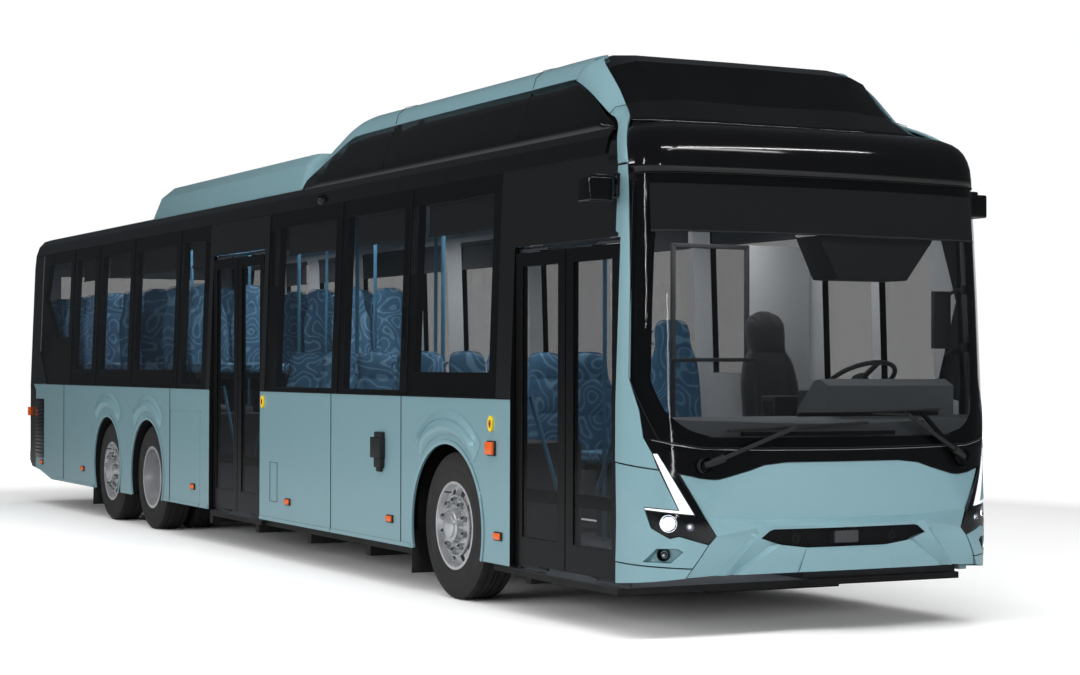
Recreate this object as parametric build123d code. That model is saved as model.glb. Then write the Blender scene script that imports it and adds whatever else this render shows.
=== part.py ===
from build123d import *
import math
import os

# A three-axle, low-entry intercity bus. Millimetres, +Z up, the nose towards -Y, the passenger doors
# on the -X side. The origin is on the ground, under the middle of the overall box.

# ---------------------------------------------------------------- driving dimensions
LENGTH = 14600.0                # nose to tail
WIDTH = 2550.0                  # across the skin at the belt
SKIRT = 305.0                   # ground to the skin's lower edge
BELT = 1370.0                   # lower edge of the glazed band
CANT = 2840.0                   # upper edge of the glazed band, where the roof starts
ROOF_TURN = 2700.0              # height where the skin starts to turn in to the roof
ROOF_EDGE = 3010.0              # height where the roof edge ends
CROWN = 3060.0                  # top of the bare roof
WALL = 60.0                     # thickness of the body's walls
GLASS = 8.0                     # thickness of the bonded panes
SCREEN_GLASS = 10.0             # thickness of the windscreen
NOSE_RADIUS = 6300.0            # plan radius of the nose
CORNER_END = 505.0              # where the nose's corners run into the sides, behind the nose
CORNER_LEAST = 330.0            # least depth of a front corner
TAIL_CORNER = 170.0             # plan radius of the tail's corners

# height, nose setback, side inset, tail setback of the skin
BODY_SECTIONS = [
    (SKIRT, 20, 0, 0), (500, 0, 0, 0), (560, 0, 0, 0), (600, 0, 0, 8), (700, 0, 0, 8),
    (1050, 30, 0, 8), (BELT, 60, 0, 8), (2000, 95, 21, 8), (ROOF_TURN, 160, 45, 8),
    (2850, 185, 55, 28), (2950, 240, 80, 68), (ROOF_EDGE, 330, 125, 128),
    (3030, 420, 180, 188), (CROWN, 700, 600, 500)]

FLOOR = 290.0                   # top of the low floor
FLOOR_PLATE = 40.0
HIGH_FLOOR = 1150.0             # top of the raised floor over the rear axles
HIGH_START = 8050.0             # where the raised floor starts, behind the nose
STEPS = 3                       # steps in the aisle below the raised floor
STEP_DEPTH = 280.0
AISLE = 300.0                   # half width of the aisle

WHEEL_R = 500.0                 # tyre radius, which is the height of every hub
TYRE_WIDTH = 280.0
TYRE_FACE = 1235.0              # outer face of the outer tyres, from the middle
TWIN_SPACING = 330.0            # between the middles of the drive axle's twin tyres
SEAT_R = 286.0                  # radius of the rim's bead seats
FLANGE_R = 300.0
RIM_HALF = 130.0                # half width of a rim
FRONT_AXLE = 2850.0             # hubs, behind the nose
DRIVE_AXLE = 9800.0
TAG_AXLE = 11195.0
KINGPIN_X = 920.0
RUNNING = 0.05                  # radial clearance of a running fit

# arch centre behind the nose, its height, and its radius
ARCHES = [(2870, 486, 570), (9810, 528, 530), (11205, 572, 485)]

FRONT_DOOR = (520.0, 1900.0, 2340.0)     # doorway's front edge, rear edge and top
REAR_DOOR = (6600.0, 7930.0, 2555.0)
LEAF = 36.0                     # thickness of a door leaf
LEAF_INSET = 35.0               # leaf's outer face, inside the skin at the belt
LEAF_BOTTOM = 330.0
LEAF_HEAD = 40.0                # between a leaf and the top of its doorway
LEAF_EDGE = 12.0                # between a leaf and the doorway's edge, and between the leaves
LEAF_BORDER = 95.0              # frame round a leaf's glass
LEAF_FRAME = (170.0, 85.0)      # frame under and over a leaf's glass
LEAF_RAIL = (730.0, 810.0)      # bottom and top of the rail across a leaf's glass
LUG = 8.0                       # height of a leaf's pivot lugs
HANDLE = (42.0, 14.0)           # handle's distance from the leaf, and its radius
HANDLE_HEIGHTS = (1385.0, 800.0, 770.0)  # a handle's top, knee and foot
POST_R = 16.0                   # turning post beside each leaf
ARM_OFFSET = 35.0               # leaf's pivot, inside the leaf's middle plane
ARM_REACH = 28.0                # post's axis, beyond the leaf's edge
ARM = 16.0                      # height of a door arm
ARM_GAP = 1.5                   # between an arm and its leaf's lug
DOOR_PIN = 8.0                  # radius of the pins between arms and leaves
COVER_DROP = 5.0                # door gear's cover, below the doorway's top
DOOR_COVER = (235.0, 60.0, 170.0)        # depth in from the side, reach past the doorway, and height

HINGE_R = 4.0                   # rod of a flap's hinge, on the skin
HINGE_GAP = 0.3                 # between a flap's edge and its hinge rod
FLAP_GAP = 6.0                  # round a flap
SIDE_FLAP = (8180.0, 9070.0, 1170.0)     # front edge, rear edge and top
ENGINE_FLAP = (12970.0, 14180.0, 1290.0)
HATCH = (950.0, 660.0, 1750.0)           # tail hatch: half width, bottom and top
TAIL_PANE = (980.0, 1900.0, 2700.0)      # rear window's pane: half width, bottom and top
TAIL_PANE_EDGE = 80.0                    # pane's overlap on the wall round its opening
TAIL_LAMP = (265.0, 95.0, 700.0, 1500.0) # lamp cluster: in from the side, bottom and top

WALL_START = FRONT_DOOR[0]      # where the side walls start and end, behind the nose
WALL_END = 14300.0
HEADER_END = 750.0              # rear edge of the header over the windscreen
FASCIA_TOP = 1035.0             # top of the front bumper's moulding
SCREEN_BOTTOM = 1100.0
SCREEN_BORDER = 60.0            # width of the flange behind the windscreen's edge

# windscreen's edge seen from the side: distance behind the nose, height
SCREEN_EDGE = [(200, SCREEN_BOTTOM), (220, 1180), (320, 1333), (385, 1500), (405, ROOF_TURN)]

WINDOW_TOP = 2715.0
# clear openings behind the nose: front edge, rear edge, bottom
RIGHT_WINDOWS = [(2240, 3450, 1540), (3700, 4770, 1410), (5020, 6250, 1410), (8200, 8800, 1410),
                 (9050, 10300, 1540), (10550, 11550, 1540), (11870, 12580, 1540)]
LEFT_WINDOWS = [(760, 1330, 1410), (1420, 1990, 1410), (2240, 3450, 1540), (3700, 4770, 1410),
                (5020, 6250, 1410), (6500, 7880, 1410), (8200, 8800, 1410), (9050, 10300, 1540),
                (10550, 11550, 1540), (11870, 12580, 1540)]
TAIL_WINDOW = [(12850, 1890), (13370, 1890), (13930, 2330), (13780, WINDOW_TOP),
               (12850, WINDOW_TOP)]
TAIL_PANE_END = 14050.0
PANE_GAP = 10.0                 # joint between two panes

# wipers: pivot's x and height, arm joint's x and height, and the blade's ends
WIPERS = [(-955, 1011, -466, 1195, -700, 350), (895, 995, 564, 1305, -330, 700)]
BLADE = 24.0                    # height of a blade and width of its arm
POD_SPAN = (520.0, 680.0)       # front and rear of the mirror-camera pods
# a pod's outline from the front: distance in from the side, height
POD_OUTLINE = [(75, 2730), (-155, 2715), (-175, 2695), (-162, 2560), (-130, 2540), (-65, 2535),
               (75, 2580)]

FAIRING = 25.0                  # thickness of the roof fairings
# battery packs on the roof: front, rear and top
ROOF_PACKS = [(1500, 3150, 3440), (3250, 4900, 3440), (6300, 8050, 3270), (8150, 9900, 3270)]
ROOF_PACK_HALF = 780.0
REAR_PACKS = (520.0, 1150.0, 12050.0, 14100.0)   # inner and outer face, front and rear
MOTOR = (12300.0, 13500.0, 480.0, 900.0)         # front, rear, bottom and top
# raised front fairing: height, front edge, rear edge, half width
RAISED_SECTIONS = [(2980, 700, 6020, 1160), (3060, 760, 5980, 1150), (3200, 870, 5880, 1105),
                   (3340, 990, 5720, 1055), (3440, 1100, 5420, 1015), (3500, 1220, 5200, 965),
                   (3530, 1420, 4980, 870)]
LOW_SECTIONS = [(2980, 6040, 10290, 1120), (3060, 6040, 10260, 1100), (3230, 6050, 10190, 1050),
                (3330, 6080, 10090, 950)]

RAIL_X = (400.0, 480.0)         # chassis rails, inner and outer faces
LOW_RAIL = 75.0                 # height of the rails under the low floor
ENTRANCE_RAIL = 45.0            # the same under the entrance, where they lie within the floor
HIGH_RAIL = (620.0, 740.0)      # bottom and top of the rails over the rear axles
CROSS_REAR = [9160.0, 11900.0, 14200.0]  # cross members of the rear frame, behind the nose
RISER = 20.0                    # thickness of the floor's boxes, steps and risers

ROWS_LOW = [4200, 4950, 5700, 6450]          # tops of the seat backs, behind the nose
ROWS_HIGH = [9100, 9850, 10600, 11350, 12100, 12850, 13600]
LAST_ROW = 14420.0
BOX_ROW = 3420.0                # seats on the front wheel boxes
SEAT_X = (305.0, 1155.0)        # inner and outer edges of a double seat
CUSHION = 110.0
CUSHION_LOW = 950.0             # top of the cushions over the low floor
CUSHION_HIGH = 1610.0           # and over the raised floor
BACK = 750.0                    # seat back above its cushion
BACK_DIP = 60.0                 # foot of a back, below the top of its cushion
SEAT_FRONT = 620.0              # front and rear of a cushion, ahead of the top of its back
SEAT_REAR = 195.0
BACK_FOOT = (190.0, 110.0)      # front and rear of a back's foot, ahead of its top
BACK_TOP = 70.0                 # thickness of a back's top
BEARER = 40.0                   # height of the bearers under a cushion
BOX_SEAT_IN = 260.0             # inner edge of the seats on the wheel boxes, from SEAT_X's
WHEEL_BOX = (580.0, 2230.0, 3490.0, 1075.0)  # inner face, front, rear and top
WELLS = (9210.0, 11780.0, 565.0)         # rear wheel wells: front, rear and inner face
WELL_WALL = 15.0
AXLE_WAY = (700.0, 130.0)       # way through the wells for an axle: half width and half depth
PLATFORM = 640.0                # top of the driver's platform
PLATFORM_SPAN = (60.0, 560.0, 2110.0)    # its inner edge, front and rear
DASH_REAR = 425.0               # rear face of the dashboard's body
STEERING = (600.0, 720.0, 1500.0, 30.0)  # steering wheel's x, distance, height and tilt
WHEEL_RIM = (225.0, 15.0)
COLUMN_R = 22.0
DRIVER_X = (355.0, 845.0)       # driver's cushion: inner and outer edge
DRIVER_Y = 1760.0               # top of the driver's seat back is this far back
DRIVER_CUSHION = (1000.0, 1110.0)
DRIVER_BACK = (1040.0, 1960.0)
PARTITION = (30.0, 2420.0, 1560.0)       # thickness, screen's top and gate's top
POLE_R = 16.0
# poles: x, distance, and which floor they stand on
POLES_LOW = [(-330, 2080), (-330, 3560), (330, 3560), (-330, 5000), (330, 5000), (-420, 6560),
             (330, 6600), (-420, 7960), (330, 7960)]
POLES_HIGH = [(-320, 9160), (320, 9160), (-320, 11400), (320, 11400)]


# ---------------------------------------------------------------- small helpers
def aft(distance):
    """Y of a place this far behind the nose."""
    return distance - LENGTH / 2


def block(x0, x1, y0, y1, z0, z1):
    """A box between two corners. Y is counted from the nose."""
    middle = Pos((x0 + x1) / 2, aft((y0 + y1) / 2), (z0 + z1) / 2)
    return middle * Box(abs(x1 - x0), abs(y1 - y0), abs(z1 - z0))


def side_prism(outline, x0, x1):
    """A prism across the bus from (distance behind the nose, height) points."""
    points = [Vector(x0, aft(y), z) for y, z in outline]
    return Solid.extrude(Face(Wire.make_polygon(points)), Vector(x1 - x0, 0, 0))


def end_prism(outline, y0, y1):
    """A prism along the bus from (x, height) points."""
    points = [Vector(x, aft(y0), z) for x, z in outline]
    return Solid.extrude(Face(Wire.make_polygon(points)), Vector(0, y1 - y0, 0))


def flat_bar(x0, z0, x1, z1, width):
    """Outline, seen from the front, of a straight bar between two points."""
    length = math.hypot(x1 - x0, z1 - z0)
    across = (-(z1 - z0) / length * width / 2, (x1 - x0) / length * width / 2)
    return [(x0 + across[0], z0 + across[1]), (x1 + across[0], z1 + across[1]),
            (x1 - across[0], z1 - across[1]), (x0 - across[0], z0 - across[1])]


def rod_x(x0, x1, y, z, radius):
    return Pos((x0 + x1) / 2, aft(y), z) * Rot(0, 90, 0) * Cylinder(radius, abs(x1 - x0))


def rod_y(x, y0, y1, z, radius):
    return Pos(x, aft((y0 + y1) / 2), z) * Rot(90, 0, 0) * Cylinder(radius, y1 - y0)


def rod_z(x, y, z0, z1, radius):
    return Pos(x, aft(y), (z0 + z1) / 2) * Cylinder(radius, z1 - z0)


def bar(start, end, radius):
    """A round bar between two points. Y is counted from the nose."""
    a = Vector(start[0], aft(start[1]), start[2])
    b = Vector(end[0], aft(end[1]), end[2])
    plane = Plane(origin=a, z_dir=b - a)
    return plane * Cylinder(radius, (b - a).length, align=(Align.CENTER, Align.CENTER, Align.MIN))


def mirrored(shape):
    """The same piece on the other side of the bus."""
    return mirror(shape, about=Plane.YZ)


def on_side(shape, side):
    """A piece drawn on the door side (-1), or carried to the driver's side (+1)."""
    return shape if side < 0 else mirrored(shape)


def save(name, shapes):
    """Writes one sub-part, whose solids stay apart."""
    solids = [solid for shape in shapes for solid in shape.solids()]
    export_step(Compound(children=solids), os.path.join("parts", name + ".step"))
    print(name, len(solids))


# ---------------------------------------------------------------- the body's form
def plan_outline(height, front, rear, half, nose, corner_depth, tail_corner):
    """A closed outline at one height: curved nose, corners tangent to nose and sides, straight tail."""
    corner = (nose ** 2 - half ** 2 - (nose - corner_depth) ** 2) / (2 * (nose - half))
    nose_centre = front + nose
    corner_x, corner_y = half - corner, front + corner_depth
    reach = nose / (nose - corner)
    join_x, join_y = corner_x * reach, nose_centre + (corner_y - nose_centre) * reach
    turn = math.atan2(join_y - corner_y, join_x - corner_x) / 2
    mid_x, mid_y = corner_x + corner * math.cos(turn), corner_y + corner * math.sin(turn)
    tail_y, tail_mid = rear - tail_corner, tail_corner * math.sqrt(0.5)
    side = [(join_x, join_y), (mid_x, mid_y), (half, corner_y), (half, tail_y),
            (half - tail_corner + tail_mid, tail_y + tail_mid), (half - tail_corner, rear)]
    right = [Vector(x, aft(y), height) for x, y in side]
    left = [Vector(-x, aft(y), height) for x, y in side]
    edges = [
        Edge.make_three_point_arc(left[0], Vector(0, aft(front), height), right[0]),
        Edge.make_three_point_arc(right[0], right[1], right[2]),
        Edge.make_line(right[2], right[3]),
        Edge.make_three_point_arc(right[3], right[4], right[5]),
        Edge.make_line(right[5], left[5]),
        Edge.make_three_point_arc(left[5], left[4], left[3]),
        Edge.make_line(left[3], left[2]),
        Edge.make_three_point_arc(left[2], left[1], left[0])]
    return Wire(edges)


def body_form(depth, bottom=SKIRT):
    """The body as a closed block, its faces lying this deep inside the skin."""
    outlines = []
    for height, nose, side, tail in BODY_SECTIONS:
        turned = min(max((height - ROOF_TURN) / (ROOF_EDGE - ROOF_TURN), 0), 1)
        level = bottom if height == SKIRT else height - depth * turned
        corner = max(CORNER_END - nose, CORNER_LEAST) - depth
        outlines.append(plan_outline(
            level, nose + depth, LENGTH - tail - depth, WIDTH / 2 - side - depth,
            NOSE_RADIUS - depth, corner, TAIL_CORNER - depth))
    return Solid.make_loft(outlines, True)


def fairing_form(sections, depth):
    """A roof fairing as a closed block, its faces lying this deep inside its skin."""
    outlines = []
    for index, (height, front, rear, half) in enumerate(sections):
        level = height - (depth if index else 0)
        outlines.append(plan_outline(
            level, front + depth, rear - depth, half - depth, NOSE_RADIUS - depth,
            CORNER_LEAST - 60 - depth, TAIL_CORNER - depth))
    return Solid.make_loft(outlines, True)


BEYOND = WIDTH / 2 + 125        # reach of a cutting block past a side, and how far in it goes
WITHIN = WIDTH / 2 - 275
OUTER = body_form(0)
INNER = body_form(WALL, bottom=SKIRT - 60)
SHELL = OUTER - INNER
GLAZING = OUTER - body_form(GLASS)
SCREEN_LAYER = OUTER - body_form(SCREEN_GLASS)

# underside: the tail rises, and the front bumper rises towards its middle
UNDERCUT_TAIL = side_prism(
    [(13430, SKIRT - 5), (13970, 387), (14340, 417), (14440, 482), (14700, 500), (14700, 200),
     (13430, 200)], -BEYOND, BEYOND)
UNDERCUT_NOSE = side_prism(
    [(-50, 385), (70, 385), (FRONT_DOOR[0], 330), (FRONT_DOOR[0], 200), (-50, 200)], -BEYOND, BEYOND)
SKIN = SHELL - UNDERCUT_TAIL - UNDERCUT_NOSE


# ---------------------------------------------------------------- side walls and glazing
def arch_cutter(arch, extra, x0, x1):
    """The opening of a wheel arch: a round top over straight sides."""
    centre, height, radius = arch
    size = radius + extra
    round_top = rod_x(x0, x1, centre, height, size)
    return round_top + block(x0, x1, centre - size, centre + size, 0, height)


def pane_outlines(windows, breaks):
    """Outlines of the bonded panes. Breaks are the doorways, as (front, rear) pairs."""
    edges = []
    for index, (front, rear, _) in enumerate(windows):
        before = windows[index - 1][1] if index else None
        after = windows[index + 1][0] if index + 1 < len(windows) else TAIL_WINDOW[0][0]
        start = (before + front) / 2 if before else front - 130
        end = (rear + after) / 2
        for door_front, door_rear in breaks:
            if start < door_rear < front:
                start = door_rear + 100
            if rear < door_front < end:
                end = door_front - 100
        edges.append((start + PANE_GAP / 2, end - PANE_GAP / 2))
    low, high = BELT + 5, CANT - 5
    outlines = [[(a, low), (b, low), (b, high), (a, high)] for a, b in edges]
    last = edges[-1][1] + PANE_GAP
    outlines.append([(last, low), (13700, low), (TAIL_PANE_END, 1740), (TAIL_PANE_END, high),
                     (last, high)])
    return outlines


def window_openings(windows):
    outlines = [[(a, low), (b, low), (b, WINDOW_TOP), (a, WINDOW_TOP)] for a, b, low in windows]
    return outlines + [TAIL_WINDOW]


def hinge_side(flap):
    """Hinge rod along a flap's top edge, on the skin of the door side."""
    front, rear, top = flap
    return rod_y(-WIDTH / 2, front + FLAP_GAP, rear - FLAP_GAP, top, HINGE_R)


def flap_panel(flap):
    """A side flap, cut from the wall's own shell and free of it all round."""
    front, rear, top = flap
    region = block(-BEYOND, -WITHIN, front + FLAP_GAP, rear - FLAP_GAP, SKIRT - 20,
                   top - HINGE_R - HINGE_GAP)
    return SKIN & region


def portal_recess(door):
    """What is cut from the leaning wall's inside, so that a doorway's upright posts fit."""
    front, rear, top = door
    return block(-WIDTH / 2 + WALL + 3, -WITHIN, front - 90, rear + 90, 0, top)


def side_wall(side):
    """One side wall's panels and its panes. The door side has the doorways and the flaps.

    The panel over each doorway is a piece of its own between the wall's upright panels.
    """
    windows = RIGHT_WINDOWS if side < 0 else LEFT_WINDOWS
    doors = [FRONT_DOOR, REAR_DOOR] if side < 0 else []
    wall = SKIN & block(-BEYOND, -WITHIN, WALL_START, WALL_END, SKIRT - 20, CANT)
    for arch in ARCHES:
        wall -= arch_cutter(arch, 0, -BEYOND, -WITHIN)
        wall -= arch_cutter(arch, 50, -WIDTH / 2 + 22, -WITHIN)
    panes = []
    breaks = [(door[0], door[1]) for door in doors]
    for outline in pane_outlines(windows, breaks):
        pane = GLAZING & side_prism(outline, -BEYOND, -WITHIN)
        panes.append(pane)
        wall -= side_prism(outline, -BEYOND, -WITHIN) & GLAZING
    for outline in window_openings(windows):
        wall -= side_prism(outline, -BEYOND, -WITHIN)
    headers = []
    for front, rear, top in doors:
        wall -= block(-BEYOND, -WITHIN, front - 1, rear, 0, top)
        wall -= portal_recess((front, rear, top))
        headers.append(wall & block(-BEYOND, -WITHIN, front - 1, rear, top, CANT))
        wall -= block(-BEYOND, -WITHIN, front - 1, rear, top, CANT)
    if side < 0:
        for flap in (SIDE_FLAP, ENGINE_FLAP):
            front, rear, top = flap
            wall -= block(-BEYOND, -WITHIN, front, rear, SKIRT - 20, top + HINGE_R - 0.5)
            wall += hinge_side(flap)
    panels = [on_side(panel, side) for panel in [wall] + headers]
    return panels, [on_side(pane, side) for pane in panes]


# ---------------------------------------------------------------- nose
SCREEN_REGION = side_prism([(-50, SCREEN_BOTTOM)] + SCREEN_EDGE + [(-50, ROOF_TURN)], -BEYOND, BEYOND)
SCREEN_CLEAR = side_prism(
    [(-50, SCREEN_BOTTOM + SCREEN_BORDER)]
    + [(y - SCREEN_BORDER, max(z, SCREEN_BOTTOM + SCREEN_BORDER)) for y, z in SCREEN_EDGE[1:-1]]
    + [(SCREEN_EDGE[-1][0] - SCREEN_BORDER, ROOF_TURN - SCREEN_BORDER),
       (-50, ROOF_TURN - SCREEN_BORDER)], -BEYOND, BEYOND)
# headlamp's outline and fog lamp's middle: distance in from the side, height
LAMP_OUTLINE = [(415, 600), (265, 690), (-15, 790), (-15, 880), (95, 800), (275, 760), (425, 660)]
FOG = (145.0, 513.0, 38.0)
LAMP_DEPTH = 35.0
LAMP_LAYER = OUTER - body_form(LAMP_DEPTH)


def nose_pieces():
    """Bumper moulding, lamps, windscreen, its surround, and the header above it."""
    windscreen = SCREEN_LAYER & SCREEN_REGION
    bumper = SKIN & block(-BEYOND, BEYOND, -50, WALL_START, 200, FASCIA_TOP)
    surround = SKIN & block(-BEYOND, BEYOND, -50, WALL_START, FASCIA_TOP, ROOF_TURN)
    surround = surround - windscreen - SCREEN_CLEAR - portal_recess(FRONT_DOOR)
    header = SKIN & block(-BEYOND, BEYOND, -50, HEADER_END, ROOF_TURN, CROWN + 10)
    header -= block(-BEYOND, -WITHIN, WALL_START, HEADER_END, ROOF_TURN - 1, CANT)
    header -= block(WITHIN, BEYOND, WALL_START, HEADER_END, ROOF_TURN - 1, CANT)
    lamps = []
    for side in (-1, 1):
        outline = [(side * (WIDTH / 2 - inset), z) for inset, z in LAMP_OUTLINE]
        lamp = LAMP_LAYER & end_prism(outline, -50, 400)
        fog = LAMP_LAYER & rod_y(side * (WIDTH / 2 - FOG[0]), -50, 400, FOG[1], FOG[2])
        bumper = bumper - lamp - fog
        lamps += [lamp, fog]
    return windscreen, bumper, surround, header, lamps


# ---------------------------------------------------------------- doors
def leaf_span(door, rear_leaf):
    """Front and rear edges of a leaf, behind the nose."""
    front, rear, _ = door
    width = (rear - front - 3 * LEAF_EDGE) / 2
    start = front + LEAF_EDGE + (width + LEAF_EDGE if rear_leaf else 0)
    return start, start + width


LEAF_X = -WIDTH / 2 + LEAF_INSET + LEAF / 2     # middle plane of the closed leaves
POST_X = LEAF_X + ARM_OFFSET


def door_pivots(door, rear_leaf):
    """Post and leaf pivot, behind the nose."""
    start, end = leaf_span(door, rear_leaf)
    post = end + ARM_REACH if rear_leaf else start - ARM_REACH
    return post, (start + end) / 2


def door_leaf(door, rear_leaf):
    """A leaf with its pivot lugs and handle, and its glass."""
    start, end = leaf_span(door, rear_leaf)
    top = door[2] - LEAF_HEAD
    _, pivot = door_pivots(door, rear_leaf)
    x0, x1 = LEAF_X - LEAF / 2, LEAF_X + LEAF / 2
    seat = x0 + 6
    glass_low, glass_top = LEAF_BOTTOM + LEAF_FRAME[0], top - LEAF_FRAME[1]
    leaf = block(x0, x1, start, end, LEAF_BOTTOM, top)
    leaf -= block(x0, x1, start + LEAF_BORDER, end - LEAF_BORDER, glass_low, glass_top)
    glass = block(seat, seat + GLASS, start + LEAF_BORDER, end - LEAF_BORDER, glass_low, glass_top)
    for low in (LEAF_BOTTOM - LUG, top):
        leaf += block(x0 + 8, POST_X, pivot - 20, pivot + 20, low, low + LUG)
        leaf += rod_z(POST_X, pivot, low, low + LUG, 20)
    pin = ARM + ARM_GAP + 2
    leaf += rod_z(POST_X, pivot, LEAF_BOTTOM - LUG - pin, LEAF_BOTTOM - LUG, DOOR_PIN)
    leaf += rod_z(POST_X, pivot, top + LUG, top + LUG + pin, DOOR_PIN)
    near, far = (end - 60, start + 130) if rear_leaf else (start + 60, end - 130)
    out, radius = HANDLE
    high, knee_z, foot_z = HANDLE_HEIGHTS
    handle_x = x1 + out
    knee = far + (near - far) * 0.22
    handle = bar((handle_x, near, high), (handle_x, knee, knee_z), radius)
    handle += Pos(handle_x, aft(knee), knee_z) * Sphere(radius + 1)
    handle += bar((handle_x, knee, knee_z), (handle_x, far, foot_z), radius)
    for y, z in ((near, high), (far, foot_z)):
        handle += Pos(handle_x, aft(y), z) * Sphere(radius + 1)
        handle += rod_x(x1, handle_x, y, z, 9)
    leaf += block(seat + GLASS, x1, start + LEAF_BORDER - 1, end - LEAF_BORDER + 1, *LEAF_RAIL)
    return leaf, handle, glass


def door_arm(door, rear_leaf):
    """A turning post with its upper and lower arms."""
    post, pivot = door_pivots(door, rear_leaf)
    top = door[2] - LEAF_HEAD
    piece = rod_z(POST_X, post, FLOOR + HINGE_GAP, door[2] - COVER_DROP - HINGE_GAP, POST_R)
    for low in (LEAF_BOTTOM - LUG - ARM_GAP - ARM, top + LUG + ARM_GAP):
        piece += block(POST_X - 10, POST_X + 10, min(post, pivot), max(post, pivot), low, low + ARM)
        piece += rod_z(POST_X, pivot, low, low + ARM, 17)
        piece -= rod_z(POST_X, pivot, low - 1, low + ARM + 1, DOOR_PIN + RUNNING)
    return piece


def door_covers():
    """Covers of the door gear, inside over the doorways."""
    covers = []
    for front, rear, top in (FRONT_DOOR, REAR_DOOR):
        deep, reach, high = DOOR_COVER
        cover = block(-WIDTH / 2, deep - WIDTH / 2, front - reach, rear + reach,
                      top - COVER_DROP, top + high)
        covers.append(cover & INNER)
    return covers


# ---------------------------------------------------------------- wheels
def turned(outline):
    """A solid of revolution about the wheel's axle from (outward, radius) points."""
    points = [Vector(x, 0, r) for x, r in outline]
    face = Face(Wire.make_polygon(points))
    return Solid.revolve(face, 360, Axis.X)


def hand_holes(disc, x0, x1, radius, hole, count=10):
    for index in range(count):
        angle = 360 / count * (index + 0.5)
        cutter = Pos((x0 + x1) / 2, 0, 0) * Rot(angle, 0, 0) * Pos(0, 0, radius)
        disc -= cutter * Rot(0, 90, 0) * Cylinder(hole, x1 - x0)
    return disc


BARREL = SEAT_R - 14            # inside of a rim's barrel
SPINDLE_R = 45.0
DRIVE_SPINDLE_R = 60.0
HUB_END = 160.0                 # end of a single wheel's spindle, from its middle plane


def single_rim():
    """A convex wheel with its hub, closed by the hub cap."""
    bore = SPINDLE_R + RUNNING
    outline = [
        (-RIM_HALF, BARREL), (-RIM_HALF, FLANGE_R), (-RIM_HALF + 12, FLANGE_R),
        (-RIM_HALF + 16, SEAT_R), (RIM_HALF - 16, SEAT_R), (RIM_HALF - 12, FLANGE_R),
        (RIM_HALF, FLANGE_R), (RIM_HALF, SEAT_R - 6), (88, 262), (104, 198), (118, 184), (118, 98),
        (HUB_END + 12, 84), (HUB_END + 16, 60), (HUB_END + 16, 0), (HUB_END + 2, 0),
        (HUB_END + 2, bore), (-50, bore), (-50, 96), (60, 96), (98, 120), (98, 180), (84, 196),
        (66, BARREL)]
    return hand_holes(turned(outline), 40, 140, 226, 27)


def twin_rim():
    """Two dished wheels back to back on one hub."""
    bore = DRIVE_SPINDLE_R + RUNNING
    dish = TWIN_SPACING / 2
    outline = [
        (-RIM_HALF, BARREL), (-RIM_HALF, FLANGE_R), (-RIM_HALF + 12, FLANGE_R),
        (-RIM_HALF + 16, SEAT_R), (RIM_HALF - 16, SEAT_R), (RIM_HALF - 12, FLANGE_R),
        (RIM_HALF, FLANGE_R), (RIM_HALF, BARREL), (-40, BARREL - 2), (-dish + 18, 208),
        (-dish + 18, 120), (-dish, 120), (-dish, 214), (-66, BARREL)]
    outer = hand_holes(turned(outline), -dish - 5, -30, 236, 27)
    inner = Pos(-TWIN_SPACING, 0, 0) * mirrored(outer)
    hub_profile = [
        (-dish - 110, bore), (-dish - 110, 118), (-dish, 118), (-dish, 121), (-dish + 34, 121),
        (-dish + 34, 190), (-dish + 50, 190), (-dish + 50, 118), (10, 108), (28, 92), (28, 0),
        (14, 0), (14, bore)]
    hub = turned(hub_profile)
    collar = turned([(-dish - 18, 110), (-dish - 18, 190), (-dish + 40, 190), (-dish + 40, 110)])
    return outer + inner + (collar - turned([(-400, 0), (-400, bore), (200, bore), (200, 0)])) + hub


def tyre():
    """A tyre as a closed ring on the rim's bead seats."""
    bead, half = RIM_HALF - 17, TYRE_WIDTH / 2
    foot = Vector(bead, 0, SEAT_R)
    lip = Vector(bead, 0, FLANGE_R + 2)
    bulge = Vector(half, 0, 398)
    shoulder = Vector(half - 20, 0, WHEEL_R - 14)
    crown = Vector(0, 0, WHEEL_R)

    def flip(v):
        return Vector(-v.X, 0, v.Z)

    edges = [
        Edge.make_line(foot, lip), Edge.make_three_point_arc(lip, bulge, shoulder),
        Edge.make_three_point_arc(shoulder, crown, flip(shoulder)),
        Edge.make_three_point_arc(flip(shoulder), flip(bulge), flip(lip)),
        Edge.make_line(flip(lip), flip(foot)), Edge.make_line(flip(foot), foot)]
    return Solid.revolve(Face(Wire(edges)), 360, Axis.X)


def place_wheel(shape, side, axle):
    """A wheel drawn outwards along +X, carried to its hub."""
    middle = TYRE_FACE - TYRE_WIDTH / 2
    placed = Pos(middle, aft(axle), WHEEL_R) * shape
    return placed if side > 0 else mirrored(placed)


# ---------------------------------------------------------------- axles and steering
KNUCKLE = (402.0, 598.0)        # bottom and top of the knuckle's boss
EAR = 30.0
KINGPIN_R = 22.0
EAR_GAP = 2.0
ARM_END = (190.0, 222.0)        # steering arm's end: rearwards from the kingpin, height
ARM_BAR = 20.0                  # radius of a steering arm
EYE_R = 20.0                    # radius of the tie rod's eyes
TIE_R = 16.0                    # half height of the eyes
TIE_PIN = 9.0
FORK_WEB = (110.0, 75.0, 40.0)  # a fork's web: inner and outer face from the kingpin, half width
BEAM = (155.0, 210.0, 55.0)     # front axle's beam: bottom, top and half width
BEAM_PADS = (300.0, 460.0)


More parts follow.
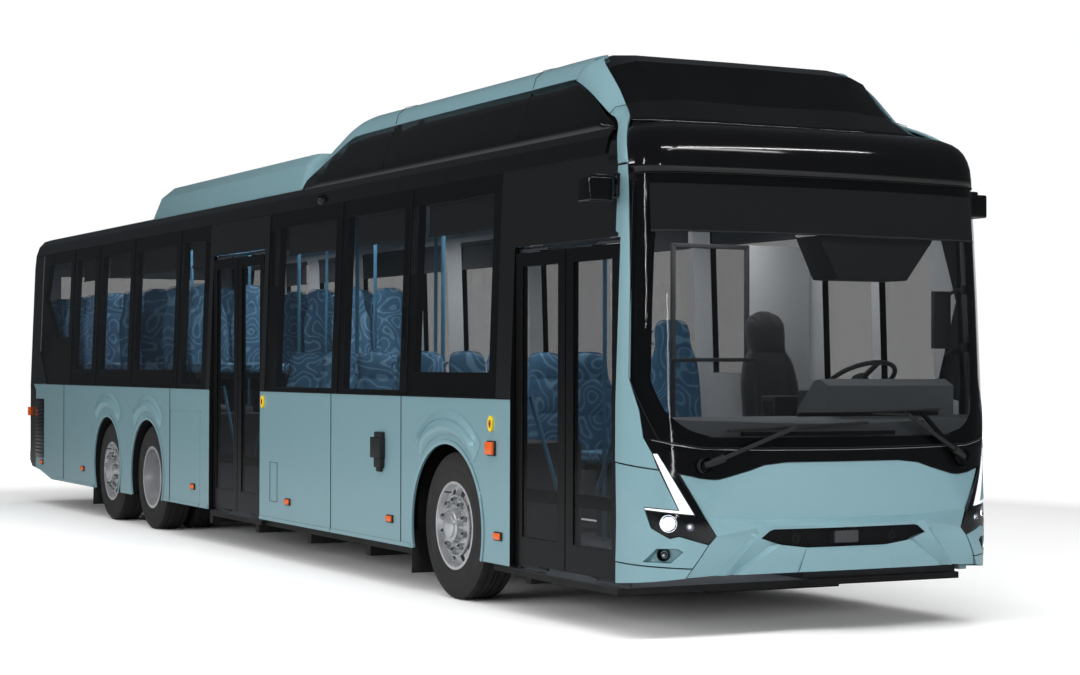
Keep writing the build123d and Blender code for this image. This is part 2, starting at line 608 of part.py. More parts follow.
def front_axle():
    """A dropped beam with forks that hold the kingpins, on pads under the floor."""
    beam_low, beam_top, half_y = BEAM
    low, high = KNUCKLE
    inner, outer, web_half = FORK_WEB
    web_in, web_out = KINGPIN_X - inner, KINGPIN_X - outer
    shoulder = beam_low + 215
    head = beam_low + 290
    profile = [
        (-web_in, shoulder), (-web_in + 190, beam_low), (web_in - 190, beam_low),
        (web_in, shoulder), (web_in, head), (web_in - 50, head), (web_in - 210, beam_top),
        (-web_in + 210, beam_top), (-web_in + 50, head), (-web_in, head)]
    beam = end_prism(profile, FRONT_AXLE - half_y, FRONT_AXLE + half_y)
    bottoms = (low - EAR_GAP - EAR, high + EAR_GAP)
    for side in (-1, 1):
        kingpin_x = side * KINGPIN_X
        web0, web1 = side * (web_in - 10), side * web_out
        fork = block(web0, web1, FRONT_AXLE - web_half, FRONT_AXLE + web_half, bottoms[0],
                     bottoms[1] + EAR)
        for bottom in bottoms:
            fork += block(web1, side * (KINGPIN_X - 20), FRONT_AXLE - web_half,
                          FRONT_AXLE + web_half, bottom, bottom + EAR)
            fork += rod_z(kingpin_x, FRONT_AXLE, bottom, bottom + EAR, 45)
        for bottom in bottoms:
            fork -= rod_z(kingpin_x, FRONT_AXLE, bottom - 1, bottom + EAR + 1, KINGPIN_R + RUNNING)
        beam += fork
        beam += block(side * BEAM_PADS[0], side * BEAM_PADS[1], FRONT_AXLE - half_y,
                      FRONT_AXLE + half_y, beam_top - 1, FLOOR - FLOOR_PLATE)
    return beam


def knuckle(side):
    """A stub axle with its kingpin and steering arm, drawn on the door side."""
    low, high = KNUCKLE
    middle = TYRE_FACE - TYRE_WIDTH / 2
    piece = rod_z(-KINGPIN_X, FRONT_AXLE, low, high, 46)
    piece += rod_z(-KINGPIN_X, FRONT_AXLE, low - EAR - 6, high + EAR + 6, KINGPIN_R)
    piece += rod_x(-KINGPIN_X, -middle - HUB_END, FRONT_AXLE, WHEEL_R, SPINDLE_R)
    rearward, height = ARM_END
    end_y = FRONT_AXLE + rearward
    elbow = (-KINGPIN_X, end_y - 25, low + 30)
    piece += bar((-KINGPIN_X, FRONT_AXLE + 20, low + 40), elbow, ARM_BAR)
    piece += Pos(elbow[0], aft(elbow[1]), elbow[2]) * Sphere(ARM_BAR)
    piece += bar(elbow, (-KINGPIN_X, end_y, height + 40), ARM_BAR - 2)
    piece += rod_z(-KINGPIN_X, end_y, height + 22, height + 46, ARM_BAR)
    piece += rod_z(-KINGPIN_X, end_y, height - TIE_R - 4, height + 24, TIE_PIN)
    return on_side(piece, side)


def tie_rod():
    """The rod between the steering arms, with an eye round each arm's pin. The arms run straight
    back from the kingpins, so the rod stays square to the bus while both turn alike."""
    rearward, height = ARM_END
    y = FRONT_AXLE + rearward
    rod = rod_x(-KINGPIN_X, KINGPIN_X, y, height, TIE_R * 0.8)
    for side in (-1, 1):
        rod += rod_z(side * KINGPIN_X, y, height - TIE_R, height + TIE_R, EYE_R)
    for side in (-1, 1):
        rod -= rod_z(side * KINGPIN_X, y, height - TIE_R - 1, height + TIE_R + 1,
                     TIE_PIN + RUNNING)
    return rod


def drive_axle():
    middle = TYRE_FACE - TYRE_WIDTH / 2
    inner_edge = middle - TWIN_SPACING - TYRE_WIDTH / 2
    housing = rod_x(-150, 150, DRIVE_AXLE, WHEEL_R, 190)
    housing += rod_x(-inner_edge + 30, inner_edge - 30, DRIVE_AXLE, WHEEL_R, 75)
    for side in (-1, 1):
        housing += rod_x(side * (inner_edge - 31), side * middle, DRIVE_AXLE, WHEEL_R,
                         DRIVE_SPINDLE_R)
        housing += block(side * RAIL_X[0], side * RAIL_X[1], DRIVE_AXLE - 60, DRIVE_AXLE + 60,
                         WHEEL_R + 40, HIGH_RAIL[0])
    return housing


def tag_axle():
    middle = TYRE_FACE - TYRE_WIDTH / 2
    beam = block(-middle + 110, middle - 110, TAG_AXLE - 60, TAG_AXLE + 60, WHEEL_R - 60,
                 WHEEL_R + 60)
    for side in (-1, 1):
        beam += rod_x(side * (middle - 111), side * (middle + HUB_END), TAG_AXLE, WHEEL_R, SPINDLE_R)
        beam += block(side * RAIL_X[0], side * RAIL_X[1], TAG_AXLE - 60, TAG_AXLE + 60,
                      WHEEL_R + 50, HIGH_RAIL[0])
    return beam


# ---------------------------------------------------------------- underframe and floor
def cross_member(y, reach, low, high):
    return block(-reach, reach, y - 40, y + 40, low, high)


def chassis_frame():
    """Rails under the low floor, rails over the rear axles, and cross members."""
    low_top = FLOOR - FLOOR_PLATE
    pieces = []
    post = HIGH_START + RISER
    for y0, y1, deep in ((780, FRONT_AXLE - 130, ENTRANCE_RAIL), (FRONT_AXLE + 270, post, LOW_RAIL)):
        low_bottom = low_top - deep
        part = cross_member(y0 + 40, RAIL_X[1], low_bottom, low_top)
        for side in (-1, 1):
            part += block(side * RAIL_X[0], side * RAIL_X[1], y0, y1, low_bottom, low_top)
        count = round((y1 - y0) / 1200)
        for index in range(1, count + 1):
            y = y0 + 40 + (y1 - y0 - 80) * index / count
            clear = abs(y - FRONT_AXLE) > WHEEL_R + 250
            reach = WIDTH / 2 - WALL if clear else RAIL_X[1]
            part += cross_member(y, reach, low_bottom, low_top)
        pieces.append(part)
    rear = pieces.pop()
    low, high = HIGH_RAIL
    for side in (-1, 1):
        x0, x1 = side * RAIL_X[0], side * RAIL_X[1]
        rear += block(x0, x1, post, post + 80, low_bottom, high)
        rear += block(x0, x1, post, CROSS_REAR[-1] + 40, low, high)
    for y in CROSS_REAR:
        rear += cross_member(y, WIDTH / 2 - WALL, low, high)
        for side in (-1, 1):
            rear += block(side * RAIL_X[0], side * RAIL_X[1], y - 40, y + 40, high,
                          HIGH_FLOOR - FLOOR_PLATE)
    pieces.append(rear)
    return pieces


def floor():
    """Low floor, front wheel boxes, steps, raised floor and the rear wheel wells."""
    inner = WIDTH / 2 - WALL
    low = FLOOR - FLOOR_PLATE
    piece = block(-inner, inner, WALL_START, HIGH_START + RISER, low, FLOOR)
    for front, rear, _ in (FRONT_DOOR, REAR_DOOR):
        piece += block(-inner - 40, -inner, front + 4, rear - 4, low, FLOOR)
    box_in, box_front, box_rear, box_top = WHEEL_BOX
    for side in (-1, 1):
        hollow = block(side * (box_in + RISER), side * (inner + 50), box_front + RISER,
                       box_rear - RISER, 0, box_top - RISER)
        piece += block(side * box_in, side * inner, box_front, box_rear, low, box_top)
        piece -= hollow
    # driver's platform
    edge, front, rear = PLATFORM_SPAN
    piece += block(edge, inner, front, rear, FLOOR, PLATFORM)
    piece -= block(edge + RISER, inner - RISER, front + RISER, rear - RISER, FLOOR,
                   PLATFORM - RISER)
    # raised floor with its front riser and the steps
    high_low = HIGH_FLOOR - FLOOR_PLATE
    landing = HIGH_START + STEPS * STEP_DEPTH
    piece += block(-inner, inner, HIGH_START, LENGTH, high_low, HIGH_FLOOR) & INNER
    piece -= block(-AISLE, AISLE, HIGH_START - 1, landing, high_low - 1, HIGH_FLOOR + 1)
    for side in (-1, 1):
        x0, x1 = side * AISLE, side * (AISLE + RISER)
        piece += block(x0, side * inner, HIGH_START, HIGH_START + RISER, FLOOR, high_low)
        piece += block(x0, x1, HIGH_START, landing + RISER, FLOOR, high_low)
    rise = (HIGH_FLOOR - FLOOR) / (STEPS + 1)
    for index in range(STEPS):
        y0 = HIGH_START + index * STEP_DEPTH
        level = FLOOR + rise * (index + 1)
        piece += block(-AISLE, AISLE, y0, y0 + STEP_DEPTH + RISER, level - RISER, level)
        piece += block(-AISLE, AISLE, y0, y0 + RISER, level - rise, level)
    piece += block(-AISLE, AISLE, landing, landing + RISER, HIGH_FLOOR - rise - RISER, high_low)
    # rear wheel wells
    front, rear, well_in = WELLS
    for side in (-1, 1):
        x0, x1 = side * well_in, side * (well_in + WELL_WALL)
        piece += block(x0, x1, front, rear, SKIRT, high_low)
        for y in (front, rear - WELL_WALL):
            piece += block(x0, side * inner, y, y + WELL_WALL, SKIRT, high_low)
    for axle in (DRIVE_AXLE, TAG_AXLE):
        piece -= block(-AXLE_WAY[0], AXLE_WAY[0], axle - AXLE_WAY[1], axle + AXLE_WAY[1],
                       SKIRT - 55, WHEEL_R + 140)
    return piece


# ---------------------------------------------------------------- interior
def seat_back(x0, x1, top_y, cushion_top):
    low = cushion_top - BACK_DIP
    return side_prism([(top_y - BACK_FOOT[0], low), (top_y - BACK_FOOT[1], low),
                       (top_y, cushion_top + BACK), (top_y - BACK_TOP, cushion_top + BACK)], x0, x1)


def seat_pair(x0, x1, top_y, cushion_top):
    """Cushion and back of a double seat, whose back's top is furthest aft."""
    cushion = block(x0, x1, top_y - SEAT_FRONT, top_y - SEAT_REAR, cushion_top - CUSHION,
                    cushion_top)
    return [cushion, seat_back(x0, x1, top_y, cushion_top)]


def seat_leg(x0, x1, top_y, cushion_top, level):
    """A pedestal under a double seat, with a bearer that carries the back."""
    low = cushion_top - CUSHION
    foot_front, foot_rear = top_y - BACK_FOOT[0], top_y - BACK_FOOT[1]
    leg = block(x0 + 180, x0 + 230, top_y - 560, top_y - 240, level, low)
    leg += block(x0 + 60, x1, top_y - 500, top_y - 440, low - BEARER, low)
    leg += block(x0 + 60, x1, top_y - 260, top_y - SEAT_REAR, low - BEARER, low)
    for x in (x0 + 80, x1 - 120):
        leg += block(x, x + 40, top_y - 260, foot_rear, low - BEARER, low)
        leg += block(x, x + 40, foot_front, foot_rear, low, cushion_top - BACK_DIP)
    return leg


def seating():
    cushions, legs = [], []
    x0, x1 = SEAT_X
    for side in (-1, 1):
        rows = [(y, CUSHION_LOW, FLOOR) for y in ROWS_LOW]
        rows += [(y, CUSHION_HIGH, HIGH_FLOOR) for y in ROWS_HIGH]
        for y, top, level in rows:
            for piece in seat_pair(x0, x1, y, top):
                cushions.append(on_side(mirrored(piece), side))
            legs.append(on_side(mirrored(seat_leg(x0, x1, y, top, level)), side))
        box_top = WHEEL_BOX[3]
        top = box_top + CUSHION
        for piece in seat_pair(x0 + BOX_SEAT_IN, x1, BOX_ROW, top):
            cushions.append(on_side(mirrored(piece), side))
        leg = block(x0 + BOX_SEAT_IN + 30, x1 - 20, BOX_ROW - BACK_FOOT[0], BOX_ROW - BACK_FOOT[1],
                    box_top, top - BACK_DIP)
        legs.append(on_side(mirrored(leg), side))
    top = CUSHION_HIGH
    cushions += seat_pair(-x1, x1, LAST_ROW, top)
    base = block(-x1, x1, LAST_ROW - SEAT_FRONT + 20, LAST_ROW - SEAT_REAR, HIGH_FLOOR,
                 top - CUSHION)
    base += block(-x1, x1, LAST_ROW - SEAT_REAR, LAST_ROW - BACK_FOOT[1], HIGH_FLOOR,
                  top - BACK_DIP)
    legs.append(base)
    return cushions, legs


def grab_rails():
    """Upright poles from floor to ceiling."""
    poles = []
    for places, level in ((POLES_LOW, FLOOR), (POLES_HIGH, HIGH_FLOOR)):
        poles += [rod_z(x, y, level, CROWN, POLE_R) & INNER for x, y in places]
    return poles


def dashboard():
    """The dashboard across the nose, with the driver's binnacle and the steering column."""
    body = [(60, 700), (60, 1230), (150, 1265), (300, 1290), (DASH_REAR, 1210), (DASH_REAR, 700)]
    dash = side_prism(body, -WIDTH / 2, WIDTH / 2) & INNER
    binnacle = [(300, 1100), (300, 1470), (380, 1510), (440, 1500), (620, 1330), (640, 1230),
                (560, 1050), (DASH_REAR, 1000), (400, 1000)]
    dash += side_prism(binnacle, PLATFORM_SPAN[0], 1000) & INNER
    x, y, z, tilt = STEERING
    turn = math.radians(tilt)
    foot, head = ((x, y - reach * math.sin(turn), z - reach * math.cos(turn)) for reach in (330, 8))
    return dash + bar(foot, head, COLUMN_R)


def steering_wheel():
    x, y, z, tilt = STEERING
    radius, thick = WHEEL_RIM
    wheel = Torus(radius, thick) + Cylinder(52, 50)
    for angle in (0, 120, 240):
        wheel += Rot(0, 0, angle) * Pos(0, -130, 0) * Box(36, 190, 14)
    wheel -= Pos(0, 0, -20) * Cylinder(COLUMN_R + RUNNING, 40)
    return Pos(x, aft(y), z) * Rot(-tilt, 0, 0) * wheel


def driver_seat():
    """Cushion and back, and the pedestal that carries both."""
    x0, x1 = DRIVER_X
    y = DRIVER_Y
    low, top = DRIVER_CUSHION
    foot, head = DRIVER_BACK
    cushion = block(x0, x1, y - 560, y - 110, low, top)
    back = side_prism([(y - 105, foot), (y - 15, foot), (y + 110, head), (y + 30, head)],
                      x0 + 10, x1 - 10)
    base = block(x0 + 75, x1 - 75, y - 480, y - 160, PLATFORM, low - 40)
    base += block(x0 + 25, x1 - 25, y - 520, y - 115, low - 40, low)
    middle = (x0 + x1) / 2
    base += block(middle - 40, middle + 40, y - 200, y - 15, low - 40, low)
    base += block(middle - 40, middle + 40, y - 105, y - 15, low, foot)
    return [cushion, back], base


def driver_partition():
    """The screen behind the driver, and the gate beside the driver's place."""
    edge, _, rear = PLATFORM_SPAN
    thick, screen_top, gate_top = PARTITION
    screen = block(edge, WIDTH / 2, rear + 2, rear + 2 + thick, FLOOR, screen_top) & INNER
    gate = block(edge - thick, edge, 1040, rear + 2 + thick, FLOOR, gate_top)
    return [screen, gate]


# ---------------------------------------------------------------- outer fittings
def wipers():
    """Two wipers, each a blade on a cranked arm from its pivot below the windscreen."""
    blade_layer = body_form(-32) - body_form(-10)
    arm_layer = OUTER_GROWN - body_form(-32)
    pieces = []
    for pivot_x, pivot_z, joint_x, joint_z, tip0, tip1 in WIPERS:
        blade = blade_layer & end_prism(flat_bar(tip0, joint_z, tip1, joint_z, BLADE), -100, 300)
        arm = arm_layer & end_prism(flat_bar(pivot_x, pivot_z, joint_x, joint_z, BLADE), -100, 300)
        boss = (OUTER_GROWN - OUTER) & rod_y(pivot_x, -100, 400, pivot_z, 20)
        joint = (OUTER_GROWN - body_form(-12)) & rod_y(joint_x, -100, 400, joint_z, 11)
        pieces.append(blade + arm + boss + joint)
    return pieces


def camera_pods():
    """Short arms that carry the mirror cameras, out from the sides behind the header."""
    outline = [(-WIDTH / 2 + inset, z) for inset, z in POD_OUTLINE]
    pod = end_prism(outline, *POD_SPAN) - OUTER
    return [pod, mirrored(pod)]


OUTER_GROWN = body_form(-50)


def roof_fairings():
    shells, packs = [], []
    for sections in (RAISED_SECTIONS, LOW_SECTIONS):
        lowest = sections[0]
        inner_sections = [(lowest[0] - 40, *lowest[1:])] + sections[1:]
        shell = fairing_form(sections, 0) - fairing_form(inner_sections, FAIRING) - OUTER
        shells.append(shell)
    for y0, y1, top in ROOF_PACKS:
        packs.append(block(-ROOF_PACK_HALF, ROOF_PACK_HALF, y0, y1, CROWN - 100, top) - OUTER)
    return shells, packs


def tail_pieces():
    """Rear wall, its hatch and window, and the lamp clusters."""
    half, low, top = HATCH
    wall = SKIN & block(-BEYOND, BEYOND, WALL_END, LENGTH + 50, SKIRT - 20, CANT)
    hatch = SKIN & block(-half + FLAP_GAP, half - FLAP_GAP, LENGTH - 400, LENGTH + 50,
                         low + FLAP_GAP, top - HINGE_R - HINGE_GAP)
    wall -= block(-half, half, LENGTH - 400, LENGTH + 50, low, top + HINGE_R - 0.5)
    wall += rod_x(-half + FLAP_GAP, half - FLAP_GAP, LENGTH - 8, top, HINGE_R)
    pane_half, pane_low, pane_top = TAIL_PANE
    pane = GLAZING & block(-pane_half, pane_half, LENGTH - 100, LENGTH + 50, pane_low, pane_top)
    clear = pane_half - TAIL_PANE_EDGE
    wall = wall - pane - block(-clear, clear, LENGTH - 400, LENGTH + 50,
                               pane_low + TAIL_PANE_EDGE, pane_top - TAIL_PANE_EDGE)
    lamps = []
    for side in (-1, 1):
        x0, x1, z0, z1 = TAIL_LAMP
        cluster = LAMP_LAYER & block(side * (WIDTH / 2 - x0), side * (WIDTH / 2 - x1), LENGTH - 300,
                                     LENGTH + 50, z0, z1)
        wall -= cluster
        lamps.append(cluster)
    return wall, hatch, pane, lamps


# ---------------------------------------------------------------- assembly
def main():
    os.makedirs("parts", exist_ok=True)
    right_panels, right_panes = side_wall(-1)
    left_panels, left_panes = side_wall(1)
    save("right_side_wall", right_panels)
    save("left_side_wall", left_panels)
    tail, hatch, rear_pane, tail_lamps = tail_pieces()
    save("rear_panel", [tail])
    save("rear_hatch", [hatch])
    save("tail_lamps", tail_lamps)
    save("side_windows", right_panes + left_panes + [rear_pane])
    save("side_flap", [flap_panel(SIDE_FLAP)])
    save("engine_flap", [flap_panel(ENGINE_FLAP)])
    windscreen, bumper, surround, header, lamps = nose_pieces()
    save("windscreen", [windscreen])
    save("front_bumper", [bumper])
    save("windscreen_surround", [surround])
    save("front_header", [header])
    save("headlamps", lamps)
    roof = SKIN & block(-BEYOND, BEYOND, HEADER_END, LENGTH + 50, CANT, CROWN + 10)
    save("roof_panel", [roof])
    shells, packs = roof_fairings()
    save("roof_fairings", shells)
    x0, x1, y0, y1 = REAR_PACKS
    bays = [block(side * x0, side * x1, y0, y1, MOTOR[2], HIGH_FLOOR - FLOOR_PLATE)
            for side in (-1, 1)]
    save("battery_packs", packs + bays)
    save("drive_motor", [block(-RAIL_X[0], RAIL_X[0], *MOTOR)])
    save("chassis_frame", chassis_frame())
    save("floor", [floor()])
    save("front_axle", [front_axle()])
    save("drive_axle", [drive_axle()])
    save("tag_axle", [tag_axle()])
    save("tie_rod", [tie_rod()])
    cushions, legs = seating()
    driver_soft, driver_base = driver_seat()
    save("passenger_seats", cushions)
    save("seat_frames", legs + [driver_base])
    save("drivers_seat", driver_soft)
    save("dashboard", [dashboard()])
    save("steering_wheel", [steering_wheel()])
    save("driver_partition", driver_partition())
    save("grab_rails", grab_rails())
    save("door_gear_covers", door_covers())
    save("wipers", wipers())
    save("camera_pods", camera_pods())
    for name, side in (("right", -1), ("left", 1)):
        save(name + "_knuckle", [knuckle(side)])
        for axle_name, axle in (("front", FRONT_AXLE), ("tag", TAG_AXLE)):
            save(f"{axle_name}_rim_{name}", [place_wheel(single_rim(), side, axle)])
            save(f"{axle_name}_tyre_{name}", [place_wheel(tyre(), side, axle)])
        save(f"drive_rim_{name}", [place_wheel(twin_rim(), side, DRIVE_AXLE)])
        twins = [tyre(), Pos(-TWIN_SPACING, 0, 0) * tyre()]
        save(f"drive_tyres_{name}", [place_wheel(one, side, DRIVE_AXLE) for one in twins])
    for door_name, door in (("front_door", FRONT_DOOR), ("rear_door", REAR_DOOR)):
        for leaf_name, rear_leaf in (("front", False), ("rear", True)):
            leaf, handle, glass = door_leaf(door, rear_leaf)
            save(f"{door_name}_{leaf_name}_leaf", [leaf, glass, handle])
            save(f"{door_name}_{leaf_name}_arm", [door_arm(door, rear_leaf)])


if __name__ == "__main__":
    main()
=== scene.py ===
"""Finish, trim and studio for a three-axle, low-entry intercity bus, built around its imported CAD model.

Metres, +Z up, nose towards -Y, passenger doors on the -X side. Places along the bus are given as
distances behind the nose, and turned to Y by aft().
"""
import math
import bmesh
import bpy
from mathutils import Matrix, Vector
from mathutils.geometry import delaunay_2d_cdt


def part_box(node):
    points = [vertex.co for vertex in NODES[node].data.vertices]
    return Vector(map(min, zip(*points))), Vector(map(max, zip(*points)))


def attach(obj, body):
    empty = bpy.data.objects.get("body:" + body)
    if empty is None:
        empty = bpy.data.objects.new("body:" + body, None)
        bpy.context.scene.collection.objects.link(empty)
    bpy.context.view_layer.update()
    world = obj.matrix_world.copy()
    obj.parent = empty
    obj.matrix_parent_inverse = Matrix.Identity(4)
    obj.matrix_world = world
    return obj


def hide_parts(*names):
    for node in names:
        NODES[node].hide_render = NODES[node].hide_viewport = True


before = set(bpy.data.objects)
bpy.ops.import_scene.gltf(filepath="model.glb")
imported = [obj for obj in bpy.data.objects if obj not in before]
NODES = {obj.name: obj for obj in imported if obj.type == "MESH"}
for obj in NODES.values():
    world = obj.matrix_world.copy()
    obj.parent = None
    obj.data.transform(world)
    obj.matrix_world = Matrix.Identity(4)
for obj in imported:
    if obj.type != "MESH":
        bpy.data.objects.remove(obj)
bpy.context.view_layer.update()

bl_info = {
    "name": "Intercity bus",
    "version": (1, 0, 0),
    "blender": (4, 5, 0),
    "location": "3D View > Sidebar > Bus",
    "description": "Paint, glass, wheels, cabin and studio for a three-axle intercity bus",
    "category": "Object",
}

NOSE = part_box("front_bumper")[0].y              # Y of the nose
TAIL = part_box("rear_panel")[1].y
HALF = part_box("right_side_wall")[0].x * -1      # half width of the body


SIDES = ((-1, "right"), (1, "left"))       # sign of x, and the word in the pieces' names


def aft(distance):
    """Y of a place this far behind the nose."""
    return NOSE + distance


# ------------------------------------------------------------------ colours
def linear(text, alpha=1.0):
    """An sRGB hex colour as linear RGBA."""
    values = [int(text[i:i + 2], 16) / 255 for i in (1, 3, 5)]
    turned = [v / 12.92 if v <= 0.04045 else ((v + 0.055) / 1.055) ** 2.4 for v in values]
    return (*turned, alpha)


# ------------------------------------------------------------------ what a user can change
class BusColours(bpy.types.PropertyGroup):
    """Colours of the finishes."""

    def colour(label, text, default):
        return bpy.props.FloatVectorProperty(
            name=label, description=text, subtype="COLOR", size=3, min=0, max=1,
            default=linear(default)[:3])

    body: colour("Body", "Metallic paint of the lower body", "#87acb5")
    upper: colour("Upper body", "Gloss black paint above the belt", "#0b0b0c")
    lining: colour("Lining", "Panels of the cabin", "#a9adb0")
    seat: colour("Seat", "Ground of the seat fabric", "#3d6482")
    motif: colour("Motif", "Figure woven into the seat fabric", "#6990aa")
    rail: colour("Rails", "Powder coat of the grab rails", "#3b6c88")
    marker: colour("Markers", "Amber of the side markers", "#e8641c")
    button: colour("Buttons", "Yellow ring of the door buttons", "#f0d21e")
    del colour


class BusSizes(bpy.types.PropertyGroup):
    """Sizes of the trim."""

    def size(label, text, default):
        return bpy.props.FloatProperty(
            name=label, description=text, default=default, min=0.0005, unit="LENGTH")

    belt: size("Belt", "Height of the lower edge of the black band", 1.37)
    seam: size("Seam", "Width of the joints between the panels", 0.004)
    panel: size("Panel", "Thickness of the nose's mouldings", 0.012)
    brow: size("Brow", "Depth of the pressed brow over each arch", 0.026)
    tread: size("Tread", "Depth of the tyres' grooves", 0.012)
    nut: size("Wheel nut", "Width across the wheel nuts", 0.041)
    piping: size("Piping", "Diameter of the piping on the seats", 0.009)
    lens: bpy.props.FloatProperty(
        name="Lens", description="Focal length on a 36 mm frame", default=71.07, min=1)
    del size


def colours():
    """The colours that the panel holds."""
    return bpy.context.scene.bus_colours


def sizes():
    """The sizes that the panel holds."""
    return bpy.context.scene.bus_sizes


# ------------------------------------------------------------------ the skin of the body
# height, nose setback, side inset, tail setback
SECTIONS = [
    (0.305, 0.020, 0, 0), (0.500, 0, 0, 0), (0.560, 0, 0, 0), (0.600, 0, 0, 0.008),
    (0.700, 0, 0, 0.008), (1.050, 0.030, 0, 0.008), (1.370, 0.060, 0, 0.008),
    (2.000, 0.095, 0.021, 0.008), (2.700, 0.160, 0.045, 0.008), (2.850, 0.185, 0.055, 0.028),
    (2.950, 0.240, 0.080, 0.068), (3.010, 0.330, 0.125, 0.128), (3.030, 0.420, 0.180, 0.188),
    (3.060, 0.700, 0.600, 0.500)]
NOSE_RADIUS = 6.3
CORNER_END = 0.505              # where the nose's corners run into the sides, behind the nose
CORNER_LEAST = 0.330
SIDE_START = 0.520              # front edge of the side walls


def section(height):
    """Nose setback, half width and corner depth of the skin at a height."""
    height = min(max(height, SECTIONS[0][0]), SECTIONS[-1][0])
    for low, high in zip(SECTIONS, SECTIONS[1:]):
        if height <= high[0]:
            share = (height - low[0]) / (high[0] - low[0])
            front = low[1] + (high[1] - low[1]) * share
            inset = low[2] + (high[2] - low[2]) * share
            return front, HALF - inset, max(CORNER_END - front, CORNER_LEAST)
    return 0, HALF, CORNER_END


def corner_of(height):
    """Corner radius, its centre's x, and the x and angle where it leaves the nose's arc."""
    front, half, depth = section(height)
    big = NOSE_RADIUS
    radius = (big ** 2 - half ** 2 - (big - depth) ** 2) / (2 * (big - half))
    centre = half - radius
    join = centre * big / (big - radius)
    return radius, centre, join, math.asin(join / big)


def girth_at_x(x, height):
    """Distance along the skin from the middle of the nose to a place at x."""
    radius, centre, join, turn = corner_of(height)
    side, x = math.copysign(1, x), abs(x)
    if x <= join:
        return side * NOSE_RADIUS * math.asin(x / NOSE_RADIUS)
    angle = math.asin(min((x - centre) / radius, 1))
    return side * (NOSE_RADIUS * turn + radius * (angle - turn))


def flank(distance, height):
    """(girth, height) of a place on the corner or the side, from its distance behind the nose."""
    front, half, depth = section(height)
    radius, centre, join, turn = corner_of(height)
    back = distance - front - depth
    angle = math.pi / 2 if back >= 0 else max(turn, math.acos(min(1, -back / radius)))
    return NOSE_RADIUS * turn + radius * (angle - turn) + max(back, 0), height


def front(x, height):
    """(girth, height) of a place on the nose, from its x."""
    return girth_at_x(x, height), height


def on_skin(girth, height, out=0.0):
    """The point of the skin at a girth and height, this far outside it."""
    front, half, depth = section(height)
    radius, centre, join, turn = corner_of(height)
    side, girth = math.copysign(1, girth), abs(girth)
    if girth <= NOSE_RADIUS * turn:
        angle = girth / NOSE_RADIUS
        x = (NOSE_RADIUS + out) * math.sin(angle)
        y = front + NOSE_RADIUS - (NOSE_RADIUS + out) * math.cos(angle)
        return Vector((side * x, aft(y), height))
    angle = turn + (girth - NOSE_RADIUS * turn) / radius
    if angle < math.pi / 2:
        x = centre + (radius + out) * math.sin(angle)
        y = front + depth - (radius + out) * math.cos(angle)
        return Vector((side * x, aft(y), height))
    along = girth - NOSE_RADIUS * turn - radius * (math.pi / 2 - turn)
    return Vector((side * (half + out), aft(front + depth + along), height))


def skin_frame(girth, height, side=1, out=0.0):
    """A frame on the skin: X along the girth, Y up, Z outwards."""
    origin = on_skin(side * girth, height, out)
    along = (on_skin(side * girth + 0.005, height, out) - origin).normalized()
    upward = on_skin(side * girth, height + 0.005, out) - origin
    outward = along.cross(upward).normalized()
    upward = outward.cross(along)
    return Matrix.Translation(origin) @ Matrix((along, upward, outward)).transposed().to_4x4()


def wall_x(height, out=0.0):
    """x of the driver's side of the body at a height."""
    return section(height)[1] + out


# ------------------------------------------------------------------ meshes
def loop_at(half, fore, rear, level, corner=0.03, steps=6):
    """A rounded rectangle at a level: half width, front and rear faces."""
    corner = min(corner, half * 0.9, (rear - fore) * 0.49)
    loop = []
    for x, y, start in ((half, rear, 0), (-half, rear, 1), (-half, fore, 2), (half, fore, 3)):
        cx = x - math.copysign(corner, x)
        cy = y - corner if y == rear else y + corner
        for i in range(steps + 1):
            angle = (start + i / steps) * math.pi / 2
            loop.append(Vector((cx + corner * math.cos(angle), cy + corner * math.sin(angle), level)))
    return loop


